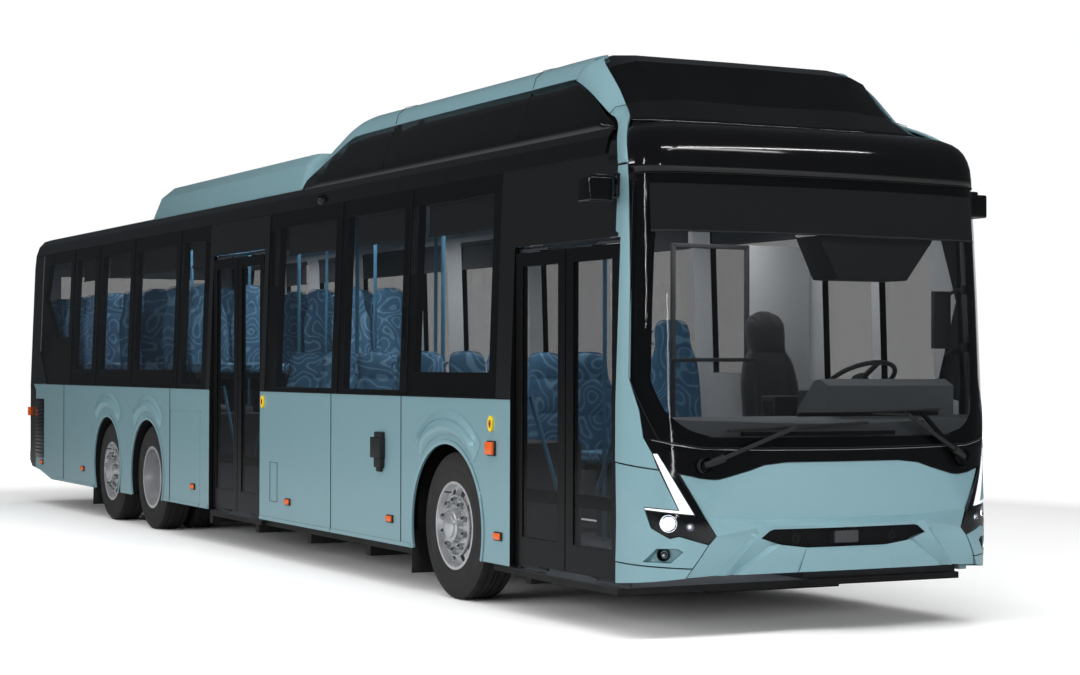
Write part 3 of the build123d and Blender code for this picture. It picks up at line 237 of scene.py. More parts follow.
class Shape:
    """Gathers faces, each with a finish, into one mesh."""

    def __init__(self):
        self.verts, self.faces, self.slots, self.smooth = [], [], [], []

    def add(self, verts, faces, slot=0, smooth=True):
        start = len(self.verts)
        self.verts += [Vector(v) for v in verts]
        self.faces += [[start + i for i in face] for face in faces]
        self.slots += [slot] * len(faces)
        self.smooth += [smooth] * len(faces)
        return self

    def join(self, other, place=Matrix()):
        """Another shape, carried by a matrix."""
        start = len(self.verts)
        self.verts += [place @ v for v in other.verts]
        flip = place.determinant() < 0
        for face in other.faces:
            turned = [start + i for i in face]
            self.faces.append(turned[::-1] if flip else turned)
        self.slots += other.slots
        self.smooth += other.smooth
        return self

    def grid(self, rows, slot=0, smooth=True, closed=False, caps=False):
        """A surface through rows of points. Closed joins each row's end to its start."""
        wide = len(rows[0])
        verts = [v for row in rows for v in row]
        faces = []
        for r in range(len(rows) - 1):
            for c in range(wide if closed else wide - 1):
                d = (c + 1) % wide
                faces.append([r * wide + c, r * wide + d, (r + 1) * wide + d, (r + 1) * wide + c])
        if caps:
            faces.append(list(range(wide))[::-1])
            faces.append([(len(rows) - 1) * wide + c for c in range(wide)])
        return self.add(verts, faces, slot, smooth)

    def box(self, low, high, slot=0):
        """A box, whose edges a Bevel modifier rounds later."""
        x, y, z = zip(low, high)
        verts = [(x[i], y[j], z[k]) for i in (0, 1) for j in (0, 1) for k in (0, 1)]
        faces = [[0, 1, 3, 2], [4, 6, 7, 5], [0, 4, 5, 1], [2, 3, 7, 6], [0, 2, 6, 4], [1, 5, 7, 3]]
        return self.add(verts, faces, slot, False)

    def tube(self, points, radius, slot=0, sides=10):
        """A round bar along points, its ends closed."""
        points = [Vector(p) for p in points]
        rows, across = [], None
        for index, point in enumerate(points):
            before = points[max(index - 1, 0)]
            after = points[min(index + 1, len(points) - 1)]
            along = (after - before).normalized()
            if across is None:
                across = along.orthogonal().normalized()
            across = (across - along * across.dot(along)).normalized()
            other = along.cross(across)
            rows.append([point + (across * math.cos(t) + other * math.sin(t)) * radius
                         for t in (math.tau * i / sides for i in range(sides))])
        return self.grid(rows, slot, True, closed=True, caps=True)

    def lathe(self, profile, steps=32, slot=0, axis="X", centre=(0, 0, 0)):
        """A turned piece from (along the axis, radius) points. Radii of 0 close it."""
        centre = Vector(centre)
        rows = []
        for along, radius in profile:
            row = []
            for i in range(steps):
                a = math.tau * i / steps
                c, s = radius * math.cos(a), radius * math.sin(a)
                row.append(centre + Vector({"X": (along, c, s), "Y": (s, along, c),
                                            "Z": (c, s, along)}[axis]))
            rows.append(row)
        return self.grid(rows, slot, True, closed=True)

    def piece(self, name, finishes, merge=1e-5, bevel=0.0, segments=2, crease=35.0, sub=0):
        """The finished object. Bevel rounds its edges, sub subdivides it."""
        mesh = bpy.data.meshes.new(name)
        mesh.from_pydata([tuple(v) for v in self.verts], [], self.faces)
        mesh.polygons.foreach_set("material_index", self.slots)
        mesh.polygons.foreach_set("use_smooth", self.smooth)
        work = bmesh.new()
        work.from_mesh(mesh)
        if merge:
            bmesh.ops.remove_doubles(work, verts=work.verts, dist=merge)
            bmesh.ops.dissolve_degenerate(work, edges=work.edges, dist=merge)
        bmesh.ops.recalc_face_normals(work, faces=work.faces)
        work.to_mesh(mesh)
        work.free()
        for finish in finishes:
            mesh.materials.append(finish)
        obj = bpy.data.objects.new(name, mesh)
        bpy.context.scene.collection.objects.link(obj)
        if bevel:
            cut = obj.modifiers.new("Bevel", "BEVEL")
            cut.width, cut.segments, cut.limit_method = bevel, segments, "ANGLE"
            cut.angle_limit = math.radians(30)
        if sub:
            fine = obj.modifiers.new("Subdivision", "SUBSURF")
            fine.levels = fine.render_levels = sub
        if obj.modifiers:
            settle(obj)
        obj.data.polygons.foreach_set("use_smooth", [True] * len(obj.data.polygons))
        obj.data.set_sharp_from_angle(angle=math.radians(crease))
        return obj


def settle(obj):
    """Turns an object's modifiers into its plain mesh."""
    graph = bpy.context.evaluated_depsgraph_get()
    baked = bpy.data.meshes.new_from_object(obj.evaluated_get(graph), depsgraph=graph)
    old = obj.data
    obj.modifiers.clear()
    obj.data = baked
    baked.name = obj.name
    bpy.data.meshes.remove(old)
    return obj


def place(obj, body, slot, *nodes):
    """Hangs a finished piece on its body, in place of CAD nodes if any are named."""
    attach(obj, body)
    if nodes:
        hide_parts(*nodes)
    return obj


def fix(shape, name, finishes, slot, *nodes, body="bus", thick=0.0, offset=-1, **options):
    """Makes a shape into a piece and hangs it on its body, in place of CAD nodes if any are named.
    The finishes are names with spaces between them. thick makes a plate of a sheet."""
    made = shape.piece(name, [finish(word) for word in finishes.split()], **options)
    if thick:
        grown = made.modifiers.new("Thickness", "SOLIDIFY")
        grown.thickness, grown.offset = thick, offset
        settle(made)
    return place(made, body, slot, *nodes)


# front and rear edges of the flaps on the door side
FLAPS = {"side_flap": (8.18, 9.07), "engine_flap": (12.97, 14.18)}


def carrier(side, d):
    """The body that carries the skirt at a distance: a flap on the door side, or the bus."""
    for name, (front, rear) in FLAPS.items():
        if side < 0 and front < d < rear:
            return name
    return "bus"


def fix_by_body(shapes, name, finishes, slot, **options):
    """Fixes one piece for each body in a table of shapes."""
    for body, shape in shapes.items():
        label = name if body == "bus" else f"{name}_{body}"
        fix(shape, label, finishes, slot, body=body, **options)


def inside(point, loop):
    """Whether a plane point lies in a closed loop."""
    x, y = point
    found = False
    for (x0, y0), (x1, y1) in zip(loop, loop[1:] + loop[:1]):
        if (y0 > y) != (y1 > y) and x < (x1 - x0) * (y - y0) / (y1 - y0) + x0:
            found = not found
    return found


def fine_loop(loop, step):
    """A closed loop with points no further apart than a step."""
    points = []
    for (x0, y0), (x1, y1) in zip(loop, loop[1:] + loop[:1]):
        count = max(1, math.ceil(math.hypot(x1 - x0, y1 - y0) / step))
        points += [(x0 + (x1 - x0) * i / count, y0 + (y1 - y0) * i / count) for i in range(count)]
    return points


def filled(outline, holes=(), step=0.04, creases=()):
    """Plane points and triangles that fill an outline, fine enough to be bent over a curved skin.
    Edges of the triangles run along the creases."""
    loops = [fine_loop(list(loop), step) for loop in (outline, *holes)]
    points, edges = [], []
    for loop in loops:
        start = len(points)
        points += loop
        edges += [(start + i, start + (i + 1) % len(loop)) for i in range(len(loop))]
    for line in creases:
        fine = fine_loop(list(line), step)[:-math.ceil(math.dist(line[-1], line[0]) / step) or None]
        fine.append(line[-1])
        start = len(points)
        points += fine
        edges += [(start + i, start + i + 1) for i in range(len(fine) - 1)]
        loops.append(fine)
    xs, ys = zip(*outline)
    near = step * 0.45
    cut = loops[1:1 + len(holes)]
    for i in range(1, math.ceil((max(xs) - min(xs)) / step)):
        for j in range(1, math.ceil((max(ys) - min(ys)) / step)):
            p = (min(xs) + i * step, min(ys) + j * step)
            if not inside(p, loops[0]) or any(inside(p, hole) for hole in cut):
                continue
            if all(math.hypot(p[0] - q[0], p[1] - q[1]) > near for loop in loops for q in loop):
                points.append(p)
    found, _, faces, *_ = delaunay_2d_cdt([Vector(p) for p in points], edges, [], 0, 1e-6)
    kept = []
    for face in faces:
        middle = sum((found[i] for i in face), Vector((0, 0))) / len(face)
        if inside(middle, loops[0]) and not any(inside(middle, hole) for hole in cut):
            kept.append(list(face))
    return [tuple(p) for p in found], kept


def faceted(heights, creases=()):
    """The relief over flat facets between (girth, height) points of a known relief. The facets
    meet along the creases, which run between known points."""
    places = [Vector(p) for p in heights]
    outs = list(heights.values())
    number = {(round(g, 4), round(z, 4)): i for i, (g, z) in enumerate(heights)}
    edges = [tuple(number[(round(g, 4), round(z, 4))] for g, z in ends)
             for line in creases for ends in zip(line, line[1:])]
    _, _, triangles, origin, *_ = delaunay_2d_cdt(places, edges, [], 0, 1e-7)
    triangles = [[origin[i][0] for i in face] for face in triangles]

    def relief(point):
        best, found = -1e9, 0.0
        for a, b, c in triangles:
            (ax, ay), (bx, by), (cx, cy) = places[a], places[b], places[c]
            area = (bx - ax) * (cy - ay) - (cx - ax) * (by - ay)
            v = ((point[0] - ax) * (cy - ay) - (cx - ax) * (point[1] - ay)) / area
            w = ((bx - ax) * (point[1] - ay) - (point[0] - ax) * (by - ay)) / area
            least = min(v, w, 1 - v - w)
            if least > best:
                best, found = least, outs[a] + (outs[b] - outs[a]) * v + (outs[c] - outs[a]) * w
                if best >= -1e-9:
                    break
        return found

    return relief


def shell(name, finishes, points, faces, lift, thick, bevel=0.0015, crease=35.0):
    """A sheet with a thickness. lift(point, out) gives the place of a plane point."""
    outer = [lift(p, 0.0) for p in points]
    inner = [lift(p, -thick) for p in points]
    count = len(points)
    edges = {}
    for face in faces:
        for a, b in zip(face, face[1:] + face[:1]):
            edges[(a, b)] = edges.get((a, b), 0) + 1
    rims = [[a, b, b + count, a + count] for a, b in edges if (b, a) not in edges]
    shape = Shape()
    shape.add(outer + inner, faces + [[i + count for i in face][::-1] for face in faces] + rims)
    return shape.piece(name, finishes, bevel=bevel, segments=1, crease=crease)


def skin_panel(name, finishes, outline, out=0.0, thick=None, holes=(), side=1, relief=None,
               step=0.04, creases=()):
    """A moulding bent over the nose. Outlines are (girth, height) points of the driver's side."""
    points, faces = filled(outline, holes, step, creases)
    thick = thick or sizes().panel

    def lift(point, depth):
        proud = relief(point) if relief else 0.0
        return on_skin(side * point[0], point[1], out + proud + depth)

    return shell(name, finishes, points, faces, lift, thick, crease=12.0 if creases else 35.0)


# ------------------------------------------------------------------ materials
def wire(tree, node, inputs):
    """Gives a node's inputs their values, and links those that are given as sockets."""
    for key, value in inputs.items():
        if isinstance(value, bpy.types.NodeSocket):
            tree.links.new(value, node.inputs[key])
        else:
            node.inputs[key].default_value = value
    return node


def add(tree, kind, inputs=None, stops=(), **settings):
    """Adds a node with its settings and inputs and, on a ramp, its stops of (place, colour)."""
    made = tree.nodes.new(kind)
    for key, value in settings.items():
        setattr(made, key, value)
    elements = made.color_ramp.elements if stops else []
    while len(elements) < len(stops):
        elements.new(1)
    for element, (at, tint) in zip(elements, stops):
        element.position = at
        element.color = tint
    return wire(tree, made, inputs or {})


def material(name):
    """An empty material and its tree, with the shader and the object's coordinates."""
    made = bpy.data.materials.new(name)
    made.use_nodes = True
    tree = made.node_tree
    shader = tree.nodes["Principled BSDF"]
    where = add(tree, "ShaderNodeTexCoord").outputs["Object"]
    return made, tree, shader, where


def patches(tree, where, scale, detail, dark, light):
    """A cloudy pattern, and the colour that goes from dark to light with it."""
    cloud = add(tree, "ShaderNodeTexNoise", {"Vector": where, "Scale": scale, "Detail": detail})
    share = cloud.outputs["Fac"]
    blend = add(tree, "ShaderNodeMix", {0: share, 6: dark, 7: light}, data_type="RGBA")
    return share, blend.outputs[2]


def mottled(tree, where, tint, spread, size, detail=3.0):
    """A colour that wanders a little, over patches of a size in metres."""
    dark = tuple(c * (1 - spread) for c in tint[:3]) + (1,)
    light = tuple(min(c * (1 + spread), 1) for c in tint[:3]) + (1,)
    return patches(tree, where, 1 / size, detail, dark, light)[1]


FINISHES = {}


def finish(name):
    """The material of a finish, made when it is first asked for."""
    if name not in FINISHES:
        FINISHES[name] = MAKERS[name]()
    return FINISHES[name]


def tinted(value, alpha=1.0):
    """A user's colour as RGBA."""
    return (*value, alpha)


# what a pattern is made of: its node and the output that is used
CELLS, CLOUDS = ("ShaderNodeTexVoronoi", "Distance"), ("ShaderNodeTexNoise", "Fac")
DUST_FILM = (5.0, 3.0, 0.03, 0.01)


def raised(tree, where, pattern, settings, depth, strength):
    """The normal of a pattern's relief, this deep in metres."""
    kind, output = pattern
    drawn = add(tree, kind, {"Vector": where, **settings})
    lifted = add(tree, "ShaderNodeBump", {"Height": drawn.outputs[output], "Distance": depth,
                                          "Strength": strength})
    return lifted.outputs["Normal"]


def plain(name, tint, spread, size, relief=None, gloss=None, clear=False, detail=3.0, **values):
    """A finish of one colour that wanders over patches, or is even where spread is 0.
    relief is a pattern, its inputs, its depth in metres and its strength. gloss is a cloudy
    pattern's scale and detail, and the share and least of it that the roughness takes."""
    made, tree, shader, where = material(name)
    inputs = {key.replace("_", " "): value for key, value in values.items()}
    inputs["Base Color"] = mottled(tree, where, tint, spread, size, detail) if spread else tint
    if relief:
        inputs["Normal"] = raised(tree, where, *relief)
    if gloss:
        scale, fine, share, least = gloss
        film = add(tree, "ShaderNodeTexNoise", {"Vector": where, "Scale": scale, "Detail": fine})
        dulled = add(tree, "ShaderNodeMath", {0: film.outputs["Fac"], 1: share, 2: least},
                     operation="MULTIPLY_ADD")
        inputs["Roughness"] = dulled.outputs[0]
    wire(tree, shader, inputs)
    if clear:
        made.surface_render_method = "BLENDED"
    return made


def coach_paint():
    """Two-pack metallic coach paint under clear coat, sprayed on aluminium sheet.
    Gives a soft pearl shimmer, a wet top layer and the faint ripple of wide flat panels. The
    belt, the tail's slanted edge and the front pillars divide its two colours."""
    made, tree, shader, where = material("coach_paint")
    c = colours()
    along = add(tree, "ShaderNodeSeparateXYZ", {"Vector": where})
    slant, strip = 13.77, 14.36     # where the tail's slanted edge and its upright strip start
    sill, head = 1.376, 1.99        # the heights that the slanted edge climbs between
    gutter = 2.96                   # the top of the strip, under the roof
    # each sum: its result, what it does, and its values by name or number
    sums = (("low", "LESS_THAN", "z", sizes().belt),
            ("line", "SUBTRACT", "y", aft(slant)),
            ("line", "MULTIPLY_ADD", "line", (head - sill) / (strip - slant), sill),
            ("line", "MINIMUM", "line", head),
            ("line", "LESS_THAN", "z", "line"),
            ("tail", "GREATER_THAN", "y", aft(slant)),
            ("tail", "MULTIPLY", "tail", "line"),
            ("strip", "GREATER_THAN", "y", aft(strip)),
            ("under", "LESS_THAN", "z", gutter),
            ("strip", "MULTIPLY", "strip", "under"),
            ("tail", "MAXIMUM", "tail", "strip"),
            ("pillar", "LESS_THAN", "y", aft(SIDE_START + 0.03)),
            ("blue", "MAXIMUM", "low", "tail"),
            ("blue", "MAXIMUM", "blue", "pillar"),
            ("metal", "MULTIPLY", "blue", 0.35),
            ("rough", "MULTIPLY_ADD", "blue", 0.05, 0.30))
    got = {"y": along.outputs["Y"], "z": along.outputs["Z"]}
    for result, operation, *values in sums:
        inputs = {i: got[v] if isinstance(v, str) else v for i, v in enumerate(values)}
        got[result] = add(tree, "ShaderNodeMath", inputs, operation=operation).outputs[0]
    blue = mottled(tree, where, tinted(c.body), 0.06, 1 / 90, 2.0)
    # road dust lightens and dulls the foot of the skirt
    foot = add(tree, "ShaderNodeMapRange", {"Value": got["z"], "From Min": 0.30, "From Max": 0.42,
                                            "To Min": 0.10, "To Max": 0.0})
    dusty = add(tree, "ShaderNodeMix", {0: foot.outputs["Result"], 6: blue, 7: linear("#9aa5a3")},
                data_type="RGBA")
    both = add(tree, "ShaderNodeMix", {0: got["blue"], 6: tinted(c.upper), 7: dusty.outputs[2]},
               data_type="RGBA")
    ripple = raised(tree, where, CLOUDS, {"Scale": 3.0, "Detail": 1.0}, 0.0012, 0.6)
    wire(tree, shader, {"Base Color": both.outputs[2], "Metallic": got["metal"],
                        "Roughness": got["rough"], "Coat Weight": 0.35, "Coat Roughness": 0.06,
                        "Normal": ripple})
    return made


def blue_paint():
    """The same metallic paint, sprayed on the nose's glass-fibre mouldings, all one colour.
    Gives the pearl shimmer with a trace of orange peel."""
    return plain("blue_paint", tinted(colours().body), 0.05, 1 / 90,
                 (CLOUDS, {"Scale": 220.0, "Detail": 1.0}, 0.00004, 0.5), detail=2.0,
                 Metallic=0.35, Roughness=0.34, Coat_Weight=0.4, Coat_Roughness=0.05)


def gloss_black():
    """Black gel-coated glass fibre, polished.
    Gives deep, slightly wavy reflections with a hint of dust."""
    return plain("gloss_black", tinted(colours().upper), 0.25, 0.3,
                 (CLOUDS, {"Scale": 2.5, "Detail": 1.0}, 0.001, 0.35),
                 gloss=(14.0, 4.0, 0.08, 0.04))


def door_black():
    """Anodised black door frames and enamelled glass borders, slightly matt.
    Gives a near-black that takes up little of the pale floor in front of it."""
    return plain("door_black", linear("#0b0b0c"), 0.2, 0.08,
                 (CLOUDS, {"Scale": 60.0, "Detail": 2.0}, 0.0002, 0.3),
                 Roughness=0.28, Specular_IOR_Level=0.16)


def door_glass():
    """Grey-tinted door glass with a low-reflection film.
    Lets the cabin show through darkly, with only a faint reflection of the floor."""
    return plain("door_glass", linear("#0a0b0c"), 0.1, 0.5, gloss=DUST_FILM, clear=True,
                 Alpha=0.42, IOR=1.5, Specular_IOR_Level=0.25)


def black_trim():
    """Grained black polypropylene, injection moulded.
    Gives a dull sheen broken by a leather grain of 4.5 mm, drawn coarser than life to show."""
    return plain("black_trim", linear("#1b1c1e"), 0.2, 0.08,
                 (CELLS, {"Scale": 1 / 0.0045}, 0.0004, 0.4), Roughness=0.55, IOR=1.46)


def rubber():
    """Black EPDM rubber, extruded.
    Gives a flat, slightly chalky black with a fine unevenness."""
    return plain("rubber", linear("#141415"), 0.3, 0.05,
                 (CLOUDS, {"Scale": 260.0, "Detail": 1.0}, 0.0002, 0.4), Roughness=0.8, IOR=1.5)


def tyre_rubber():
    """Carbon-black tyre rubber, vulcanised in a mould.
    Gives a grey-black with an uneven, dusty bloom and a gritty skin."""
    made, tree, shader, where = material("tyre_rubber")
    _, bloom = patches(tree, where, 9.0, 5.0, linear("#1c1c1d"), linear("#2f2e2d"))
    grit = raised(tree, where, CLOUDS, {"Scale": 320.0, "Detail": 2.0}, 0.0005, 0.5)
    wire(tree, shader, {"Base Color": bloom, "Normal": grit,
                        "Roughness": 0.72, "IOR": 1.52})
    return made


def tinted_glass():
    """Grey-tinted toughened glass, bonded.
    Lets about two thirds of the light through, with a hard clear reflection."""
    return plain("tinted_glass", linear("#0d0f10"), 0.1, 0.5, gloss=DUST_FILM, clear=True,
                 Alpha=0.36, IOR=1.5)


def clear_lens():
    """Clear polycarbonate, moulded and hard-coated.
    Gives a bright skin over the lamp, and shows what is behind it."""
    return plain("clear_lens", linear("#202326"), 0.05, 0.1, clear=True, Alpha=0.06,
                 Roughness=0.03, IOR=1.5)


def lit_white():
    """A frosted light guide in front of white diodes, switched on.
    Gives an even white glow with a soft edge."""
    return plain("lit_white", linear("#e9ecee"), 0.03, 0.02, Roughness=0.3, Emission_Strength=0.35,
                 Emission_Color=linear("#f4f7ff"))


def lamp_beam():
    """The burning lamp behind its lens: brighter than paper, blue-white."""
    return plain("lamp_beam", linear("#f6f9ff"), 0.02, 0.02, Roughness=0.2, Emission_Strength=9.0,
                 Emission_Color=linear("#eef5ff"))


def reflector():
    """Vacuum-metallised reflector bowl.
    Gives a bright mirror with the faint unevenness of its mould."""
    return plain("reflector", linear("#c9cdd1"), 0.08, 0.02,
                 (CLOUDS, {"Scale": 130.0, "Detail": 1.0}, 0.0004, 0.5),
                 Metallic=1.0, Roughness=0.14)


def polished_alloy():
    """Forged aluminium wheel, turned and hand polished.
    Gives a bright, faintly brushed mirror with soft patches of brake dust."""
    made, tree, shader, where = material("polished_alloy")
    dust, tint = patches(tree, where, 11.0, 5.0, linear("#b9bbbd"), linear("#e3e4e6"))
    dulled = add(tree, "ShaderNodeMath", {0: dust, 1: -0.16, 2: 0.30}, operation="MULTIPLY_ADD")
    turned = raised(tree, where, CLOUDS, {"Scale": 300.0, "Detail": 2.0}, 0.0001, 0.15)
    wire(tree, shader, {"Base Color": tint, "Roughness": dulled.outputs[0], "Metallic": 0.72,
                        "Normal": turned})
    return made


def bright_steel():
    """Zinc-plated steel fastenings.
    Gives a cool grey metal with a slight mottled spangle."""
    return plain("bright_steel", linear("#b4b7b9"), 0.2, 0.01, Metallic=1.0, Roughness=0.25)


def chassis_paint():
    """Black wax-coated steel of the underframe.
    Gives a dull, uneven black with brown road film."""
    made, tree, shader, where = material("chassis_paint")
    film = add(tree, "ShaderNodeTexNoise", {"Vector": where, "Scale": 6.0, "Detail": 6.0})
    tint = add(tree, "ShaderNodeValToRGB", {"Fac": film.outputs["Fac"]},
               ((0.35, linear("#0a0a0b")), (0.7, linear("#1a1816"))))
    cast = raised(tree, where, CLOUDS, {"Scale": 120.0, "Detail": 3.0}, 0.0008, 0.5)
    wire(tree, shader, {"Base Color": tint.outputs["Color"], "Roughness": 0.6, "Metallic": 0.0,
                        "Normal": cast})
    return made


def wheel_liner():
    """Needle-felt liner of the wheel arches, dusted with road film.
    Gives a fibrous near-black that swallows the light round the tyres."""
    made, tree, shader, where = material("wheel_liner")
    felt, tint = patches(tree, where, 180.0, 3.0, linear("#060606"), linear("#131312"))
    relief = add(tree, "ShaderNodeBump", {"Height": felt, "Distance": 0.001, "Strength": 0.6})
    wire(tree, shader, {"Base Color": tint, "Normal": relief.outputs["Normal"],
                        "Roughness": 0.95, "Specular IOR Level": 0.2})
    return made


def cabin_lining():
    """Grey laminate of the cabin's panels, with a fine pebbled print.
    Gives a matt mid grey that keeps the cabin calm behind the glass."""
    return plain("cabin_lining", tinted(colours().lining), 0.08, 0.01,
                 (CELLS, {"Scale": 1 / 0.006}, 0.0003, 0.3), Roughness=0.6)


def floor_vinyl():
    """Slip-resistant vinyl with mineral chips.
    Gives a dark speckled grey."""
    made, tree, shader, where = material("floor_vinyl")
    chips = add(tree, "ShaderNodeTexVoronoi", {"Vector": where, "Scale": 1 / 0.009})
    tint = add(tree, "ShaderNodeValToRGB", {"Fac": chips.outputs["Distance"]},
               ((0.15, linear("#8d9296")), (0.30, linear("#3b3f44"))))
    relief = add(tree, "ShaderNodeBump", {"Height": chips.outputs["Distance"],
                                          "Distance": 0.0004, "Strength": 0.4})
    wire(tree, shader, {"Base Color": tint.outputs["Color"], "Roughness": 0.65,
                        "Normal": relief.outputs["Normal"]})
    return made


def dark_plastic():
    """Soft-touch moulding in anthracite, on the cabin's fittings.
    Gives a dull dark grey with fine grain."""
    return plain("dark_plastic", linear("#3a3c3f"), 0.1, 0.05,
                 (CELLS, {"Scale": 1 / 0.004}, 0.0003, 0.4), Roughness=0.6, IOR=1.46)


def rail_coat():
    """Blue textured powder coat on steel tube.
    Gives a clean colour with a fine eggshell surface."""
    return plain("rail_coat", tinted(colours().rail), 0.08, 0.03,
                 (CLOUDS, {"Scale": 500.0, "Detail": 1.0}, 0.0002, 0.4), Roughness=0.38)


def seat_cloth():
    """Wool moquette, woven with a cut pile.
    Gives a soft dull blue with a generic figure of winding lines in paler blue, and a sheen at
    grazing angles. The pile is drawn at 3 mm, coarser than life, so that it shows."""
    made, tree, shader, where = material("seat_cloth")
    c = colours()
    black, white = (0, 0, 0, 1), (1, 1, 1, 1)
    hills = add(tree, "ShaderNodeTexNoise", {"Vector": where, "Scale": 5.5, "Detail": 0.0})
    levels = add(tree, "ShaderNodeMath", {0: hills.outputs["Fac"], 1: 7.0}, operation="MULTIPLY")
    rings = add(tree, "ShaderNodeMath", {0: levels.outputs[0]}, operation="FRACT")
    figure = add(tree, "ShaderNodeValToRGB", {"Fac": rings.outputs[0]},
                 ((0.0, black), (0.34, black), (0.44, white), (0.60, white), (0.70, black)))
    faded = add(tree, "ShaderNodeMath", {0: figure.outputs["Color"], 1: 0.85},
                operation="MULTIPLY")
    pile, ground = patches(tree, where, 1 / 0.003, 2.0, tuple(v * 0.7 for v in c.seat) + (1,),
                           tuple(min(1, v * 1.25) for v in c.seat) + (1,))
    woven = add(tree, "ShaderNodeMix", {0: faded.outputs[0], 6: ground, 7: tinted(c.motif)},
                data_type="RGBA")
    relief = add(tree, "ShaderNodeBump", {"Height": pile, "Distance": 0.001, "Strength": 0.5})
    wire(tree, shader, {"Base Color": woven.outputs[2], "Normal": relief.outputs["Normal"],
                        "Roughness": 0.9, "Sheen Weight": 0.35, "Sheen Roughness": 0.4,
                        "Sheen Tint": linear("#9db9d2")})
    return made


def pad_grey():
    """Soft-touch padding of the dashboard, a grained PVC skin.
    Gives an even matt mid grey with a 1.5 mm leather grain."""
    return plain("pad_grey", linear("#6d7276"), 0, 1,
                 (CELLS, {"Scale": 1 / 0.0015}, 0.0004, 0.4), Roughness=0.7)


def dark_cloth():
    """Black wool-mix fabric of the driver's seat, woven in twill.
    Gives a deep matt charcoal with a diagonal rib, drawn coarser than life so that it shows."""
    made, tree, shader, where = material("dark_cloth")
    rib = add(tree, "ShaderNodeTexWave", {"Vector": where, "Scale": 70.0, "Distortion": 0.6},
              bands_direction="DIAGONAL")
    tint = add(tree, "ShaderNodeMix", {0: rib.outputs["Fac"], 6: linear("#17191b"),
                                       7: linear("#2a2d30")}, data_type="RGBA")
    relief = add(tree, "ShaderNodeBump", {"Height": rib.outputs["Fac"], "Distance": 0.0006,
                                          "Strength": 0.4})
    wire(tree, shader, {"Base Color": tint.outputs[2], "Normal": relief.outputs["Normal"],
                        "Roughness": 0.9, "Sheen Weight": 0.2})
    return made


def blind_cloth():
    """Grey glass-fibre roller-blind screen.
    Gives an even dark grey with an open weave of 4 mm, drawn coarser than life to show."""
    made, tree, shader, where = material("blind_cloth")
    weave = add(tree, "ShaderNodeTexChecker", {"Vector": where, "Scale": 1 / 0.004,
                                               "Color1": linear("#2c2e31"),
                                               "Color2": linear("#3a3c40")})
    wire(tree, shader, {"Base Color": weave.outputs["Color"], "Roughness": 0.85})
    return made


def amber_lens():
    """Amber acrylic lens with moulded prisms.
    Gives a warm orange, broken up by the small facets behind a glossy face."""
    return plain("amber_lens", tinted(colours().marker), 0.1, 0.02,
                 (CELLS, {"Scale": 1 / 0.006}, 0.001, 0.6), Roughness=0.22, Coat_Weight=0.5,
                 IOR=1.49)


def red_lens():
    """Red acrylic tail-lamp lens with moulded prisms.
    Gives a deep red, broken up by the small facets behind a glossy face."""
    return plain("red_lens", linear("#9c1410"), 0.15, 0.02,
                 (CELLS, {"Scale": 1 / 0.008}, 0.001, 0.6), Roughness=0.2, Coat_Weight=0.5,
                 IOR=1.49)


def yellow_button():
    """Glazed yellow plastic of the door buttons, easy to find for the eye and the hand."""
    return plain("yellow_button", tinted(colours().button), 0.05, 0.01, Roughness=0.3, IOR=1.49)


def screen_dark():
    """A display or camera window that is switched off: black glass with a sharp reflection."""
    return plain("screen_dark", linear("#08090a"), 0.2, 0.05, Roughness=0.08)


def plate_white():
    """Painted aluminium number plate, left blank.
    Gives a clean satin white."""
    return plain("plate_white", linear("#e9eaea"), 0.02, 0.2, Roughness=0.35)


def shadow_gap():
    """The unlit joint between two panels: sealant in shade, nearly black."""
    return plain("shadow_gap", linear("#0a0b0b"), 0.2, 0.05, Roughness=0.9)


MAKERS = {maker.__name__: maker for maker in (
    coach_paint, blue_paint, gloss_black, door_black, door_glass, black_trim, rubber, tyre_rubber,
    tinted_glass, clear_lens, lit_white, lamp_beam, reflector, polished_alloy, bright_steel,
    chassis_paint, wheel_liner, cabin_lining, floor_vinyl, dark_plastic, rail_coat, seat_cloth,
    pad_grey, dark_cloth, blind_cloth, amber_lens, red_lens, yellow_button, screen_dark,
    plate_white, shadow_gap)}


def dress(node, *finishes, choose=None):
    """Gives a CAD node its finishes. choose(centre, normal) picks the finish of each face."""
    mesh = NODES[node].data
    mesh.materials.clear()
    for name in finishes:
        mesh.materials.append(finish(name))
    if choose:
        picks = [choose(face.center, face.normal) for face in mesh.polygons]
        mesh.polygons.foreach_set("material_index", picks)
    else:
        mesh.polygons.foreach_set("material_index", [0] * len(mesh.polygons))


# ------------------------------------------------------------------ studio
def aim(position, target):
    """The turn that points an object's -Z at a target."""
    return (Vector(target) - Vector(position)).to_track_quat("-Z", "Y").to_euler()


def area_lamp(name, position, target, width, height, power, gloss=False):
    """A soft lamp, hidden from the camera, that glossy surfaces show only where gloss is set."""
    data = bpy.data.lights.new(name, "AREA")
    data.shape, data.size, data.size_y, data.energy = "RECTANGLE", width, height, power
    lamp = bpy.data.objects.new(name, data)
    lamp.location = position
    lamp.rotation_euler = aim(position, target)
    lamp.visible_camera = False
    lamp.visible_glossy = gloss
    bpy.context.scene.collection.objects.link(lamp)
    return lamp


